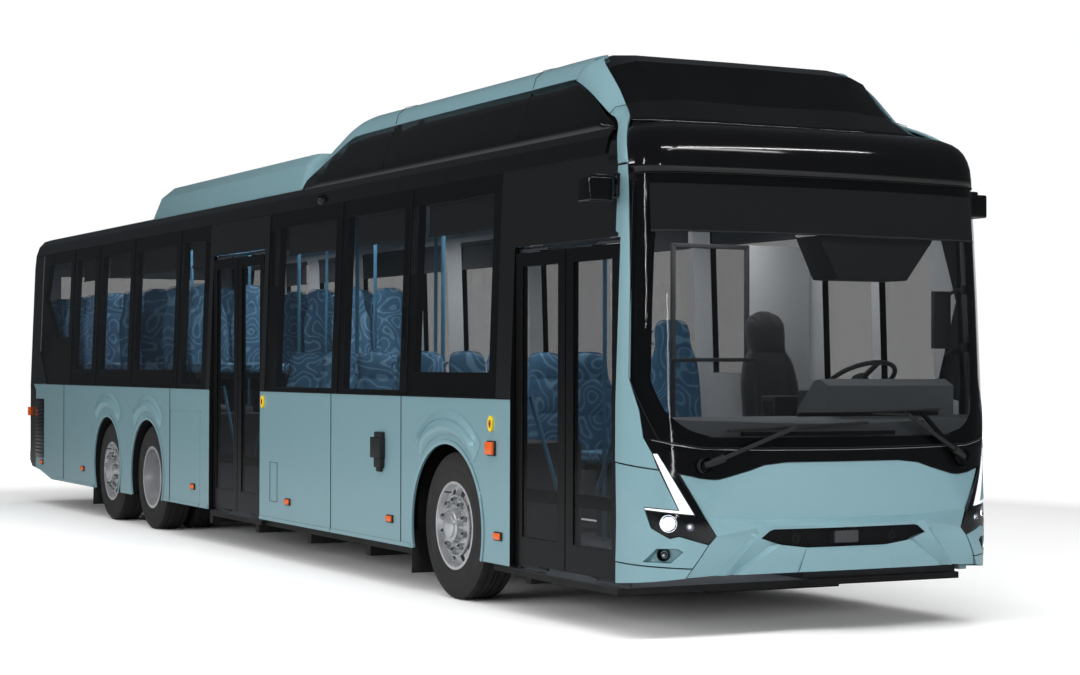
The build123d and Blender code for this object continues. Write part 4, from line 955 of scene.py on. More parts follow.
class BUS_OT_studio(bpy.types.Operator):
    """Makes the floor, the white surroundings, the soft lamps and the camera"""
    bl_idname = "bus.studio"
    bl_label = "Studio"

    def execute(self, context):
        scene = context.scene
        scene.view_settings.view_transform = "Standard"
        floor = Shape().add([(-120, -120, 0), (120, -120, 0), (120, 120, 0), (-120, 120, 0)],
                            [[0, 1, 2, 3]]).piece("studio_floor", [self.floor_finish()])
        self.surroundings(scene)
        area_lamp("top_box", (-3, -2, 15), (0, -0.5, 0.5), 24, 34, 3600)
        area_lamp("nose_box", (1.5, -17, 3.0), (0, -6, 1.8), 8, 3, 600)
        tubes = ((-2.5, -12.0, 7.6, 3.2, 0.10, 70), (3.5, -12.6, 8.6, 6.0, 0.10, 110),
                 (1.0, -16.0, 10.0, 9.0, 0.5, 160), (-14.0, -9.0, 5.0, 0.4, 4.0, 130),
                 (-13.0, 1.0, 5.5, 7.0, 0.35, 150), (-8.0, -16.0, 2.2, 0.5, 3.0, 60))
        for index, (x, y, z, width, height, power) in enumerate(tubes):
            area_lamp(f"tube_{index}", (x, y, z), (x * 0.2, y * 0.55, 1.8), width, height, power, True)
        for index, d in enumerate((1.6, 4.6, 8.0, 11.6)):
            area_lamp(f"ceiling_{index}", (0, aft(d), 2.80), (0, aft(d), 0), 1.4, 1.6, 62)
        area_lamp("side_box", (-13, -3, 3.4), (0, 0, 1.6), 18, 4, 760)
        self.camera(scene)
        return {"FINISHED"}

    def floor_finish(self):
        """A seamless pale paper floor: white to the camera, with the object's shadow kept."""
        made, tree, shader, where = material("studio_paper")
        reach = add(tree, "ShaderNodeVectorMath", {0: where}, operation="LENGTH").outputs["Value"]
        far = add(tree, "ShaderNodeMapRange", {"Value": reach, "From Min": 9.0, "From Max": 30.0})
        white = add(tree, "ShaderNodeMix", {0: far.outputs["Result"], 6: (1.12, 1.12, 1.12, 1),
                                            7: (7, 7, 7, 1)}, data_type="RGBA")
        seen = add(tree, "ShaderNodeLightPath").outputs["Is Camera Ray"]
        tint = add(tree, "ShaderNodeMix", {0: seen, 6: linear("#b9bbbd"), 7: white.outputs[2]},
                   data_type="RGBA")
        wire(tree, shader, {"Base Color": tint.outputs[2], "Roughness": 0.85,
                            "Specular IOR Level": 0.0})
        return made

    def surroundings(self, scene):
        """White to the camera and through glass, dark to gloss, soft grey for the light it gives."""
        world = bpy.data.worlds.new("surroundings")
        world.use_nodes = True
        tree = world.node_tree
        out = tree.nodes["World Output"]
        base = tree.nodes["Background"]
        wire(tree, base, {"Color": (1, 1, 1, 1), "Strength": 0.16})
        seen = add(tree, "ShaderNodeBackground", {"Color": (1, 1, 1, 1), "Strength": 1.0})
        path = add(tree, "ShaderNodeLightPath")
        share = add(tree, "ShaderNodeMath", {0: path.outputs["Is Camera Ray"],
                                             1: path.outputs["Is Transmission Ray"]},
                    operation="MAXIMUM")
        blend = add(tree, "ShaderNodeMixShader", {0: share.outputs[0], 1: base.outputs[0],
                                                  2: seen.outputs[0]})
        dark = add(tree, "ShaderNodeBackground", {"Color": (0.8, 0.9, 1, 1), "Strength": 0.07})
        blend = add(tree, "ShaderNodeMixShader", {0: path.outputs["Is Glossy Ray"],
                                                  1: blend.outputs[0], 2: dark.outputs[0]})
        tree.links.new(blend.outputs[0], out.inputs["Surface"])
        scene.world = world

    def camera(self, scene):
        """A long lens at eye height, off the door side of the nose."""
        data = bpy.data.cameras.new("camera")
        data.lens, data.sensor_width = sizes().lens, 36.0
        data.clip_end = 400
        eye = bpy.data.objects.new("camera", data)
        yaw, pitch, roll = 0.474, 0.014, 0.003
        forward = Vector((math.sin(yaw) * math.cos(pitch), math.cos(yaw) * math.cos(pitch),
                          math.sin(pitch)))
        level = Vector((math.cos(yaw), -math.sin(yaw), 0))
        up = level.cross(forward)
        right = level * math.cos(roll) + up * math.sin(roll)
        up = up * math.cos(roll) - level * math.sin(roll)
        eye.matrix_world = Matrix.Translation((-7.32, -17.60, 1.575)) @ Matrix(
            (right, up, -forward)).transposed().to_4x4()
        scene.collection.objects.link(eye)
        scene.camera = eye


# ------------------------------------------------------------------ coachwork
# wheel arches: distance, height of the centre, radius
ARCHES = [(2.87, 0.486, 0.57), (9.81, 0.528, 0.53), (11.205, 0.572, 0.485)]
SKIRT_FOOT = 0.31               # height of the skirt's lower edge


def faces_out(lining="cabin_lining", outside="coach_paint", edge="gloss_black"):
    """Finishes of a wall: outside, inside and edges, and the choice between them."""
    def choose(centre, normal):
        flat = Vector((centre.x, 0, 0)).normalized() if abs(centre.y) < -NOSE - 0.6 else Vector(
            (centre.x * 0.2, centre.y, 0)).normalized()
        turn = normal.dot(flat)
        return 0 if turn > 0.3 else 1 if turn < -0.3 else 2
    return (outside, lining, edge), choose


def roof_faces(centre, normal):
    """Paint on top of a roof panel, lining on its underside."""
    return 1 if normal.z < -0.2 else 0


def over_wheel(side, centre, high, spread, steps, ring, place_point):
    """Rows of points along an arc over a wheel, a row for each angle. A ring is made of
    (radius, depth), and place_point also gets how far along the arc's half it is, from 0 to 1."""
    rows = []
    for i in range(steps + 1):
        angle = spread * (2 * i / steps - 1)
        rows.append([place_point(side, centre + radius * math.sin(angle),
                                 high + radius * math.cos(angle), depth, abs(angle) / spread)
                     for radius, depth in ring])
    return rows


class BUS_OT_coachwork(bpy.types.Operator):
    """Paints the walls, roof, tail and flaps, and adds their joints, brows and lips"""
    bl_idname = "bus.coachwork"
    bl_label = "Coachwork"

    def execute(self, context):
        finishes, choose = faces_out()
        for node in ("right_side_wall", "left_side_wall", "rear_panel", "rear_hatch"):
            dress(node, *finishes, choose=choose)
        dress("side_flap", "coach_paint")
        dress("engine_flap", "coach_paint")
        dress("roof_panel", "gloss_black", "cabin_lining", choose=roof_faces)
        self.joints()
        self.brows()
        return {"FINISHED"}

    def strip(self, shape, side, ends, wide, proud=0.0008):
        """A flat strip on the side, from one (distance, height) to another."""
        (d0, z0), (d1, z1) = ends
        along = Vector((d1 - d0, z1 - z0))
        across = Vector((-along.y, along.x)).normalized() * wide / 2
        count = max(1, math.ceil(along.length / 0.15))
        rows = []
        for i in range(count + 1):
            d, z = d0 + along.x * i / count, z0 + along.y * i / count
            row = []
            for offset, out in ((-1, -0.002), (-1, proud), (1, proud), (1, -0.002)):
                height = z + across.y * offset
                row.append((side * wall_x(height, out), aft(d + across.x * offset), height))
            rows.append(row)
        shape.grid(rows, 0, False, closed=True, caps=True)

    def joints(self):
        """Dark joints between the skirt's panels, round the flaps and along the cant."""
        seam = sizes().seam
        foot, belt = SKIRT_FOOT, sizes().belt
        upright = {-1: (3.64, 4.99, 9.08, 12.93), 1: (3.64, 4.99, 6.55, 8.05, 9.08, 12.0, 12.93)}
        for side, word in SIDES:
            shape = Shape()
            for d in upright[side]:
                self.strip(shape, side, ((d, foot), (d, belt)), seam)
            level = [((SIDE_START + 1.38, belt), (6.6, belt)), ((7.93, belt), (14.28, belt)),
                     ((SIDE_START + 0.2, 2.84), (14.28, 2.84))]
            if side > 0:
                level = [((SIDE_START, belt), (14.28, belt)), level[-1],
                         ((9.9, 1.02), (11.0, 1.02))]
            for ends in level:
                self.strip(shape, side, ends, seam)
            fix(shape, f"panel_joints_{word}", "shadow_gap", "black_trim")
            lips = {}
            spans = [(3.45, 4.985), (4.995, 6.585), (7.95, 8.17), (8.19, 9.06), (9.08, 9.26),
                     (11.71, 12.96), (12.98, 13.41)]
            if side > 0:
                spans = [(0.55, 2.28), (3.45, 4.985), (4.995, 9.26), (11.71, 13.41)]
            for low, high in spans:
                lip = lips.setdefault(carrier(side, (low + high) / 2), Shape())
                self.strip(lip, side, ((low, 0.322), (high, 0.322)), 0.026, 0.005)
            fix_by_body(lips, f"skirt_lips_{word}", "coach_paint", "body_paint")

    def brows(self):
        """Pressed brows over the wheel arches: a soft ridge with a sharp return under it."""
        proud = sizes().brow
        # radius, how far out
        profile = [(0.800, -0.002), (0.785, 0.002), (0.765, 0.35 * proud), (0.752, 0.6 * proud),
                   (0.748, 0.58 * proud), (0.744, 0.15 * proud), (0.738, 0.1 * proud),
                   (0.725, 0.45 * proud), (0.700, 0.95 * proud), (0.685, proud), (0.665, 0.85 * proud),
                   (0.648, 0.3 * proud), (0.635, -0.002)]
        spread = math.radians(43)

        def brow_point(side, d, z, out, share):
            """Sinks the brow into the skin towards both ends of its arc."""
            fade = min(1, (1 - share) * 5)
            fade = fade * fade * (3 - 2 * fade)
            return side * wall_x(z, -0.002 + (out + 0.002) * fade), aft(d), z

        def lip_point(side, d, z, out, share):
            """A point this far outside the skin."""
            return side * wall_x(z, out), aft(d), z

        def liner_point(side, d, z, inwards, share):
            """A point this far inside the body's side."""
            return side * (HALF - inwards), aft(d), z

        for side, word in SIDES:
            brow, lips, liners = Shape(), Shape(), Shape()
            for centre, high, arch in ARCHES:
                foot = math.acos(max(-1, min(1, (SKIRT_FOOT - high) / arch)))
                ridge = [(radius + (arch - 0.57) * 0.6, out) for radius, out in profile]
                lip = ((arch + 0.028, -0.001), (arch + 0.026, 0.004), (arch + 0.004, 0.005),
                       (arch - 0.003, 0.002), (arch - 0.003, -0.014), (arch + 0.001, -0.014))
                felt = [(arch - 0.006, inwards) for inwards in (0.016, 0.10, 0.20, 0.34)]
                brow.grid(over_wheel(side, centre, high, spread, 40, ridge, brow_point))
                lips.grid(over_wheel(side, centre, high, foot, 64, lip, lip_point))
                if centre != ARCHES[0][0]:      # the steered wheels need the room of a liner
                    liners.grid(over_wheel(side, centre, high, foot, 48, felt, liner_point))
            fix(brow, f"arch_brows_{word}", "coach_paint", "body_paint", crease=50)
            fix(lips, f"arch_lips_{word}", "coach_paint", "body_paint", crease=50)
            fix(liners, f"arch_liners_{word}", "wheel_liner", "dark_plastic", thick=0.003, crease=50)


# ------------------------------------------------------------------ nose
# the edge between the mask and the black fascia, from the middle outwards: x, height
MASK_TOP = [(0, 1.030), (0.40, 1.030), (0.55, 1.015), (0.648, 0.984), (0.774, 0.952), (0.831, 0.938),
            (0.873, 0.936), (0.958, 0.945), (1.004, 0.957), (1.070, 0.970)]
BAND_TIP, BAND_FOOT = (0.871, 0.614), (0.917, 0.567)
LIGHT_TOP_OUT, LIGHT_TOP_IN = (1.187, 1.087), (1.165, 1.085)
LIGHT_TURN, LIGHT_CROOK = (0.994, 0.735), (1.076, 0.763)
LIGHT_END_LOW, LIGHT_END_HIGH = (1.217, 0.761), (1.219, 0.777)
LAMP_FOOT = [(1.196, 0.661), (1.119, 0.603), (1.077, 0.616)]
GRILLE = [(0.50, 0.645), (0.528, 0.637), (0.585, 0.595), (0.449, 0.553), (0.28, 0.533)]
FOG_POCKET = [(1.225, 0.463), (1.175, 0.543), (1.082, 0.546), (1.055, 0.526), (1.113, 0.461)]


FACET_DEPTH = 1.9               # how much deeper than the least relief the mask is pressed


def mirrored(half):
    """A loop across the nose, from the points of its driver's half taken from top to bottom."""
    return [front(x, z) for x, z in half] + [(-g, z) for g, z in
                                             [front(x, z) for x, z in half if x > 0][::-1]]


def shrunk(loop, gap):
    """A loop drawn in by half a joint on every side."""
    turn = sum(x0 * y1 - x1 * y0 for (x0, y0), (x1, y1) in zip(loop, loop[1:] + loop[:1]))
    sign = 1 if turn > 0 else -1
    moved = []
    for i, here in enumerate(loop):
        before, after = Vector(loop[i - 1]), Vector(loop[(i + 1) % len(loop)])
        here = Vector(here)
        a, b = (here - before).normalized(), (after - here).normalized()
        na, nb = Vector((-a.y, a.x)) * sign, Vector((-b.y, b.x)) * sign
        way = (na + nb) / max(1 + na.dot(nb), 0.35)
        moved.append(tuple(here + way * gap / 2))
    return moved


class BUS_OT_nose(bpy.types.Operator):
    """Builds the nose: faceted mask, black fascia, corner panels, lamps and grille"""
    bl_idname = "bus.nose"
    bl_label = "Nose"

    def execute(self, context):
        self.seam = sizes().seam + 0.002
        self.backing()
        self.mask()
        self.grille()
        self.fascia()
        self.plate()
        for side, word in ((1, "left"), (-1, "right")):
            self.corner(side, word)
            self.lamps(side, word)
        self.glass_edge()
        return {"FINISHED"}

    def panel(self, name, tint, outline, slot="body_paint", nodes=(), **options):
        made = skin_panel(name, [finish(tint)], shrunk(outline, self.seam), **options)
        return place(made, "bus", slot, *nodes)

    def backing(self):
        """The structure seen in the joints between the mouldings: a sheet whose near-black finish is
        painted shade.
        """
        edge = [flank(0.515, z) for z in (0.41, 0.6, 1.0, 1.10)]
        loop = edge + [(-g, z) for g, z in edge[::-1]]
        hole = mirrored(GRILLE)
        made = skin_panel("nose_backing", [finish("shadow_gap")], loop, out=-0.066, thick=0.006,
                          step=0.06, holes=[hole])
        place(made, "bus", "black_trim", "front_bumper")

    def mask(self):
        """The wide blue moulding, pressed into flat facets with a ledge over the grille."""
        top = {p: -0.006 for p in MASK_TOP}
        edge = {(0.936, 0.727): -0.012, BAND_TIP: 0.0, BAND_FOOT: 0.0, (1.004, 0.431): -0.003,
                (1.038, 0.374): -0.010}
        foot = {(0.851, 0.384): -0.020, (0.811, 0.384): -0.004, (0.761, 0.385): -0.020,
                (0.729, 0.386): -0.004, (0.33, 0.388): -0.008, (0, 0.392): -0.008}
        ledge = {(0.545, 0.697): -0.028, (0, 0.697): -0.028, (0.56, 0.666): 0.0, (0, 0.666): 0.0}
        slats = {(0.477, 0.546): -0.002, (0.502, 0.561): -0.014, (0.640, 0.575): 0.0,
                 (0.664, 0.588): -0.012}
        mouth = {p: -0.004 for p in GRILLE + [(0, 0.645), (0, 0.533)]}
        known = {}
        for group in (top, edge, foot, ledge, slats, mouth):
            for (x, z), out in group.items():
                g, z = front(x, z)
                known[(g, z)] = known[(-g, z)] = out * FACET_DEPTH
        half = MASK_TOP + list(edge) + list(foot)
        tip, low = (0.936, 0.727), (0.56, 0.666)
        lines = [[tip, (0.545, 0.697), (0, 0.697)], [tip, low, (0, 0.666)], [BAND_TIP, low],
                 [(0.477, 0.546), (0.729, 0.386)], [(0.502, 0.561), (0.761, 0.385)],
                 [(0.640, 0.575), (0.811, 0.384)], [(0.664, 0.588), (0.851, 0.384)],
                 [low, (0.640, 0.575), (0.502, 0.561)], [BAND_TIP, (0.664, 0.588)],
                 [(0.640, 0.575), (0.664, 0.588)], [(0.477, 0.546), (0.502, 0.561)],
                 [(0.545, 0.697), (0.648, 0.984)], [(0.477, 0.546), (0.33, 0.388)]]
        creases = [[(s * front(x, z)[0], z) for x, z in line] for line in lines for s in (1, -1)]
        inner = [[(g + (0.006 if g < 0 else -0.006) * (abs(g) > 0.9), z + 0.005 * (z < 0.4))
                  for g, z in line] for line in creases]
        self.panel("nose_mask", "blue_paint", mirrored(half), relief=faceted(known, creases),
                   holes=[mirrored(GRILLE)], creases=inner, step=0.035, out=-0.001)

    def grille(self):
        """A dark mouth with a fine mesh, the radar's box and two towing eyes."""
        loop = mirrored([(x * 1.02, z + (0.006 if z > 0.6 else -0.006)) for x, z in GRILLE])
        # the sheet at the back of the mouth is near-black painted shade, in the shadow_gap finish
        back = skin_panel("grille_back", [finish("shadow_gap")], loop, out=-0.085, thick=0.004,
                          step=0.08)
        place(back, "bus", "black_trim")
        rim = Shape()
        mouth = fine_loop(mirrored(GRILLE), 0.03)
        rim.grid([[on_skin(g, z, out) for g, z in mouth] for out in (-0.012, -0.086)], closed=True)
        fix(rim, "grille_rim", "black_trim", "black_trim")
        mesh = Shape()
        hole = mirrored(GRILLE)
        pitch = 0.016
        for lean in (1, -1):
            for i in range(-50, 51):
                start, line = i * pitch * 1.5, []
                for j in range(0, 60):
                    p = (start + lean * j * 0.003 * 1.5, 0.5 + j * 0.003)
                    if inside(p, hole):
                        line.append(on_skin(p[0], p[1], -0.030 - 0.002 * lean))
                if len(line) > 2:
                    mesh.tube([line[0], line[-1]], 0.0016, sides=4)
        fix(mesh, "grille_mesh", "black_trim", "black_trim")
        box = Shape()
        centre = skin_frame(0.0, 0.590, out=-0.045)
        box.join(Shape().box((-0.085, -0.038, -0.03), (0.085, 0.036, 0.03)), centre)
        fix(box, "radar_box", "dark_plastic", "black_trim", bevel=0.008)
        for side, word in ((1, "left"), (-1, "right")):
            hook = Shape()
            turn = skin_frame(0.345, 0.585, side, -0.035)
            ring = [turn @ Vector((0.020 * math.cos(a), 0.026 * math.sin(a), 0))
                    for a in (math.tau * i / 20 for i in range(21))]
            hook.tube(ring, 0.006, sides=8)
            fix(hook, f"tow_eye_{word}", "chassis_paint", "black_trim")

    def fascia(self):
        """Gloss black from the glass down to the lamps, in one piece round both corners."""
        half = [(0, 1.093), (0.939, 1.103), LIGHT_TOP_IN, LIGHT_TURN, LIGHT_END_LOW, *LAMP_FOOT,
                BAND_FOOT, BAND_TIP, (1.078, 0.974)] + MASK_TOP[:-1][::-1]
        loop = [front(x, z) for x, z in half] + [(-front(x, z)[0], z) for x, z in half[1:-1][::-1]]
        holes = []
        for x, z, radius in ((1.126, 0.687, 0.050), (1.022, 0.668, 0.026)):
            g = front(x, z)[0]
            for side in (1, -1):
                holes.append([(side * g + radius * math.cos(a), z + radius * math.sin(a))
                              for a in (math.tau * i / 24 for i in range(24))])
        self.panel("nose_fascia", "gloss_black", loop, slot="black_trim", nodes=("headlamps",),
                   holes=holes, out=-0.004, step=0.03)

    def plate(self):
        """The blank number plate's holder."""
        loop = [front(x, z) for x, z in ((-0.33, 0.392), (0.33, 0.392), (0.29, 0.524), (-0.29, 0.524))]
        made = skin_panel("plate_holder", [finish("blue_paint")], loop, out=-0.0035, thick=0.006,
                          step=0.05)
        place(made, "bus", "body_paint")

    def corner(self, side, word):
        """The three mouldings round a front corner, the fog lamp's pocket and the day light."""
        rear = 0.516
        upper = [front(1.163, 0.993), front(*LIGHT_TOP_OUT), flank(0.294, 1.175), flank(0.320, 1.333),
                 flank(0.385, 1.50), flank(0.400, 2.00), flank(0.430, 2.40), flank(0.455, 2.70),
                 flank(0.465, 2.760), flank(0.576, 2.760), flank(0.574, 2.37), flank(rear, 2.35),
                 flank(rear, 2.0), flank(rear, 1.029)]
        self.panel(f"corner_upper_{word}", "blue_paint", upper, side=side, out=0.0025, thick=0.008,
                   step=0.05)
        middle = [front(1.162, 0.990), flank(rear, 1.026), flank(rear, 0.452), front(1.005, 0.431),
                  front(*BAND_FOOT)] + [front(*p) for p in LAMP_FOOT[::-1]] + [
                      front(*LIGHT_END_LOW), front(*LIGHT_END_HIGH), front(*LIGHT_CROOK)]
        pocket = [front(x, z) for x, z in FOG_POCKET]
        self.panel(f"corner_middle_{word}", "blue_paint", middle, side=side, holes=[pocket],
                   step=0.035, out=-0.001)
        lower = [flank(rear, 0.450), flank(rear, 0.323), flank(0.30, 0.342), front(1.040, 0.372),
                 front(1.004, 0.429)]
        self.panel(f"corner_lower_{word}", "blue_paint", lower, side=side, out=-0.002)
        well = Shape()
        ring = fine_loop(pocket, 0.02)
        centre = (sum(g for g, _ in ring) / len(ring), sum(z for _, z in ring) / len(ring))
        rows = []
        for shrink, out in ((1.0, -0.002), (1.0, -0.010), (0.86, -0.040), (0.0, -0.040)):
            rows.append([on_skin(side * (centre[0] + (g - centre[0]) * shrink),
                                 centre[1] + (z - centre[1]) * shrink, out) for g, z in ring])
        well.grid(rows, closed=True)
        fix(well, f"fog_pocket_{word}", "blue_paint", "body_paint", crease=25)
        strip = [front(*p) for p in (LIGHT_TOP_OUT, LIGHT_TOP_IN, LIGHT_TURN, LIGHT_END_LOW,
                                     LIGHT_END_HIGH, LIGHT_CROOK)]
        self.panel(f"day_light_{word}", "lit_white", strip, slot="lamp_lens", side=side, out=0.0,
                   step=0.02)

    def lamps(self, side, word):
        """Dipped beam, small lamp and fog lamp: bowl, burner, bezel and clear cover."""
        for label, (x, z), radius, out, beam in (
                ("main_lamp", (1.126, 0.687), 0.048, -0.006, "lamp_beam"),
                ("side_lamp", (1.022, 0.668), 0.024, -0.006, "lit_white"),
                ("fog_lamp", (1.150, 0.508), 0.036, -0.014, "lit_white")):
            turn = skin_frame(front(x, z)[0], z, side, out)
            r = radius
            bowl = Shape().lathe([(-0.3 * r, 0.0), (-0.9 * r, 0.30 * r), (-0.75 * r, 0.60 * r),
                                  (-0.35 * r, 0.86 * r), (0.0, 0.98 * r)], 32, 0, "Z")
            bezel = Shape().lathe([(-0.02, 1.04 * r), (0.0, 1.06 * r), (0.002, 1.02 * r),
                                   (-0.001, 0.97 * r), (-0.02, 0.97 * r)], 32, 2, "Z")
            burner = Shape().lathe([(-0.45 * r, 0.46 * r), (-0.25 * r, 0.42 * r), (-0.10 * r, 0.26 * r),
                                    (-0.05 * r, 0.0)], 24, 1, "Z")
            whole = Shape().join(bowl, turn).join(bezel, turn).join(burner, turn)
            dim = label == "fog_lamp"
            made = whole.piece(f"{label}_{word}", [
                finish("screen_dark" if dim else "reflector"), finish("reflector" if dim else beam),
                finish("black_trim" if dim else "bright_steel")], crease=50)
            place(made, "bus", "lamp_lens")
        cover = [front(*p) for p in (LIGHT_TURN, LIGHT_END_LOW, *LAMP_FOOT, BAND_FOOT, (0.893, 0.600))]
        self.panel(f"lamp_cover_{word}", "clear_lens", cover, slot="lamp_lens", side=side,
                   out=-0.0012, thick=0.002, step=0.03)

    def glass_edge(self):
        """The bright bead under the windscreen."""
        shape = Shape()
        line = [(0.0, 1.098), (0.5, 1.101), (0.939, 1.109), (1.10, 1.137), (1.190, 1.163)]
        path = []
        for (x0, z0), (x1, z1) in zip(line, line[1:]):
            path += [(x0 + (x1 - x0) * i / 6, z0 + (z1 - z0) * i / 6) for i in range(6)]
        path.append(line[-1])
        both = [(-x, z) for x, z in path[::-1]] + path[1:]
        shape.tube([on_skin(girth_at_x(x, z), z, -0.002) for x, z in both], 0.0035, sides=8)
        fix(shape, "glass_bead", "bright_steel", "black_trim")


# ------------------------------------------------------------------ roof
# height, front, rear, half width of each level of a fairing
RAISED = [(2.980, 0.700, 6.020, 1.160), (3.060, 0.760, 5.980, 1.150), (3.200, 0.870, 5.880, 1.105),
          (3.340, 0.990, 5.720, 1.055), (3.440, 1.100, 5.420, 1.015), (3.500, 1.220, 5.200, 0.965),
          (3.530, 1.420, 4.980, 0.870)]
LOW_POD = [(2.980, 6.040, 10.290, 1.120), (3.060, 6.040, 10.260, 1.100),
           (3.230, 6.050, 10.190, 1.050), (3.330, 6.080, 10.090, 0.950)]


def level(table, height):
    """Front, rear and half width of a fairing at a height."""
    height = min(max(height, table[0][0]), table[-1][0])
    for low, high in zip(table, table[1:]):
        if height <= high[0]:
            share = (height - low[0]) / (high[0] - low[0])
            return tuple(a + (b - a) * share for a, b in zip(low[1:], high[1:]))
    return table[-1][1:]


def aft_in(point, deep):
    """A point moved inwards and back from the nose's skin."""
    return Vector((point.x * (1 - deep / HALF), point.y + deep, point.z - deep * 0.6))


class BUS_OT_roof(bpy.types.Operator):
    """Builds the roof's fairings: black dome and side panels in a blue hoop, and the low pod"""
    bl_idname = "bus.roof"
    bl_label = "Roof"

    def execute(self, context):
        self.header()
        self.dome()
        for side, word in ((1, "left"), (-1, "right")):
            self.side_panels(side, word)
            self.hoop(side, word)
        self.pod()
        return {"FINISHED"}

    def header(self):
        """The rounded moulding over the windscreen, from the glass to the dome."""
        profile = [(2.700, 0.160, 0.045), (2.760, 0.166, 0.048), (2.820, 0.176, 0.053),
                   (2.870, 0.192, 0.060), (2.915, 0.214, 0.072), (2.950, 0.243, 0.089),
                   (2.978, 0.280, 0.112), (3.000, 0.328, 0.142), (3.016, 0.385, 0.180),
                   (3.028, 0.450, 0.230), (3.040, 0.560, 0.330), (3.050, 0.640, 0.46)]
        self.rows = []
        for z, setback, inset in profile:
            half, big = HALF - inset - 0.002, NOSE_RADIUS
            depth = max(CORNER_END - setback, CORNER_LEAST)
            radius = (big ** 2 - half ** 2 - (big - depth) ** 2) / (2 * (big - half))
            centre = half - radius
            turn = math.asin(centre / (big - radius))
            row = []
            for i in range(-30, 31):
                angle = abs(i) / 30
                if angle <= 0.5:
                    a = turn * angle * 2
                    x, d = big * math.sin(a), setback + big - big * math.cos(a)
                else:
                    a = turn + (math.pi / 2 - turn) * (angle - 0.5) * 2
                    x, d = centre + radius * math.sin(a), setback + depth - radius * math.cos(a)
                row.append(Vector((math.copysign(x, i), aft(d), z)))
            for side, end in ((-1, 0), (1, -1)):
                point = Vector((row[end].x, aft(0.703), z))
                row.insert(0, point) if side < 0 else row.append(point)
            self.rows.append(row)
        outer = Shape().grid(self.rows)
        fix(outer, "header_moulding", "gloss_black", "body_paint", "front_header", thick=0.012,
            crease=60)
        lining = Shape().grid([[aft_in(v, 0.05) for v in row] for row in self.rows])
        fix(lining, "header_lining", "cabin_lining", "body_paint")
        bead = Shape().tube([v + Vector((0, -0.0005, 0)) for v in self.rows[0]], 0.003, sides=6)
        fix(bead, "header_joint", "shadow_gap", "black_trim")

    def dome(self):
        """The body of the raised fairing, black all over, its corners well rounded."""
        shape = Shape()
        rows = []
        for z, fore, rear, half in RAISED:
            corner = 0.16 if z - 0.012 < 3.45 else 0.22
            rows.append(loop_at(half - 0.055, aft(fore + 0.05), aft(rear - 0.06), z - 0.012, corner))
        shape.grid(rows, 0, True, closed=True)
        shape.add(rows[-1], [list(range(len(rows[-1])))], 0)
        fix(shape, "fairing_dome", "gloss_black", "black_trim", "roof_fairings", bevel=0.03, segments=3,
            crease=80)
        self.apron()

    def apron(self):
        """The dome's sloping front: a flat middle between two creases, wings out to the corners."""
        # x, distance, height
        foot = [(0, 0.650, 3.052), (0.62, 0.655, 3.050), (0.98, 0.680, 3.050), (1.075, 0.720, 3.050)]
        knee = [(0, 0.895, 3.205), (0.62, 0.895, 3.215), (0.92, 0.890, 3.185), (0.990, 0.900, 3.165)]
        brow = [(0, 1.110, 3.474), (0.80, 1.115, 3.468), (0.935, 1.160, 3.436), (0.968, 1.190, 3.408)]
        crown = [(0, 1.260, 3.528), (0.72, 1.270, 3.528), (0.85, 1.330, 3.527), (0.905, 1.370, 3.508)]
        rows = []
        for low, high in ((foot, knee), (knee, brow), (brow, crown)):
            for i in range(6 if high is not crown else 7):
                t = i / 6
                line = [Vector(a).lerp(Vector(b), t) for a, b in zip(low, high)]
                half = []
                for start, end in zip(line, line[1:]):
                    half += [start.lerp(end, j / 5) for j in range(5)]
                half.append(line[-1])
                both = [Vector((-v.x, v.y, v.z)) for v in half[::-1]] + half[1:]
                rows.append([Vector((v.x, aft(v.y), v.z)) for v in both])
        fix(Shape().grid(rows), "dome_apron", "gloss_black", "black_trim", thick=0.008, crease=9)

    def side_point(self, side, d, z, out):
        """A point of the raised fairing's side, this far outside it."""
        return Vector((side * (level(RAISED, z)[2] + out), aft(d), z))

    def side_panels(self, side, word):
        """The flat black side between the hoop's legs, with joints between its panels."""
        outline = [(0.74, 2.990), (0.80, 3.050), (0.915, 3.100), (1.035, 3.174), (1.19, 3.258),
                   (1.325, 3.322), (1.430, 3.360), (1.54, 3.378), (4.92, 3.368), (5.14, 3.348),
                   (5.40, 3.260), (5.60, 3.184), (5.88, 3.076), (5.97, 2.990)]
        points, faces = filled(outline, (), 0.10)
        panel = Shape().add([self.side_point(side, d, z, -0.002) for d, z in points], faces)
        fix(panel, f"fairing_sides_{word}", "gloss_black", "black_trim", thick=0.008)
        seams = Shape()
        for d in (2.06, 4.30):
            seams.tube([self.side_point(side, d, 3.05 + i * 0.031, -0.0018) for i in range(11)], 0.0011,
                       sides=6)
        fix(seams, f"fairing_joints_{word}", "shadow_gap", "black_trim")

    def hoop(self, side, word):
        """The blue hoop: its front leg, its run along the roof's edge and its rear leg."""
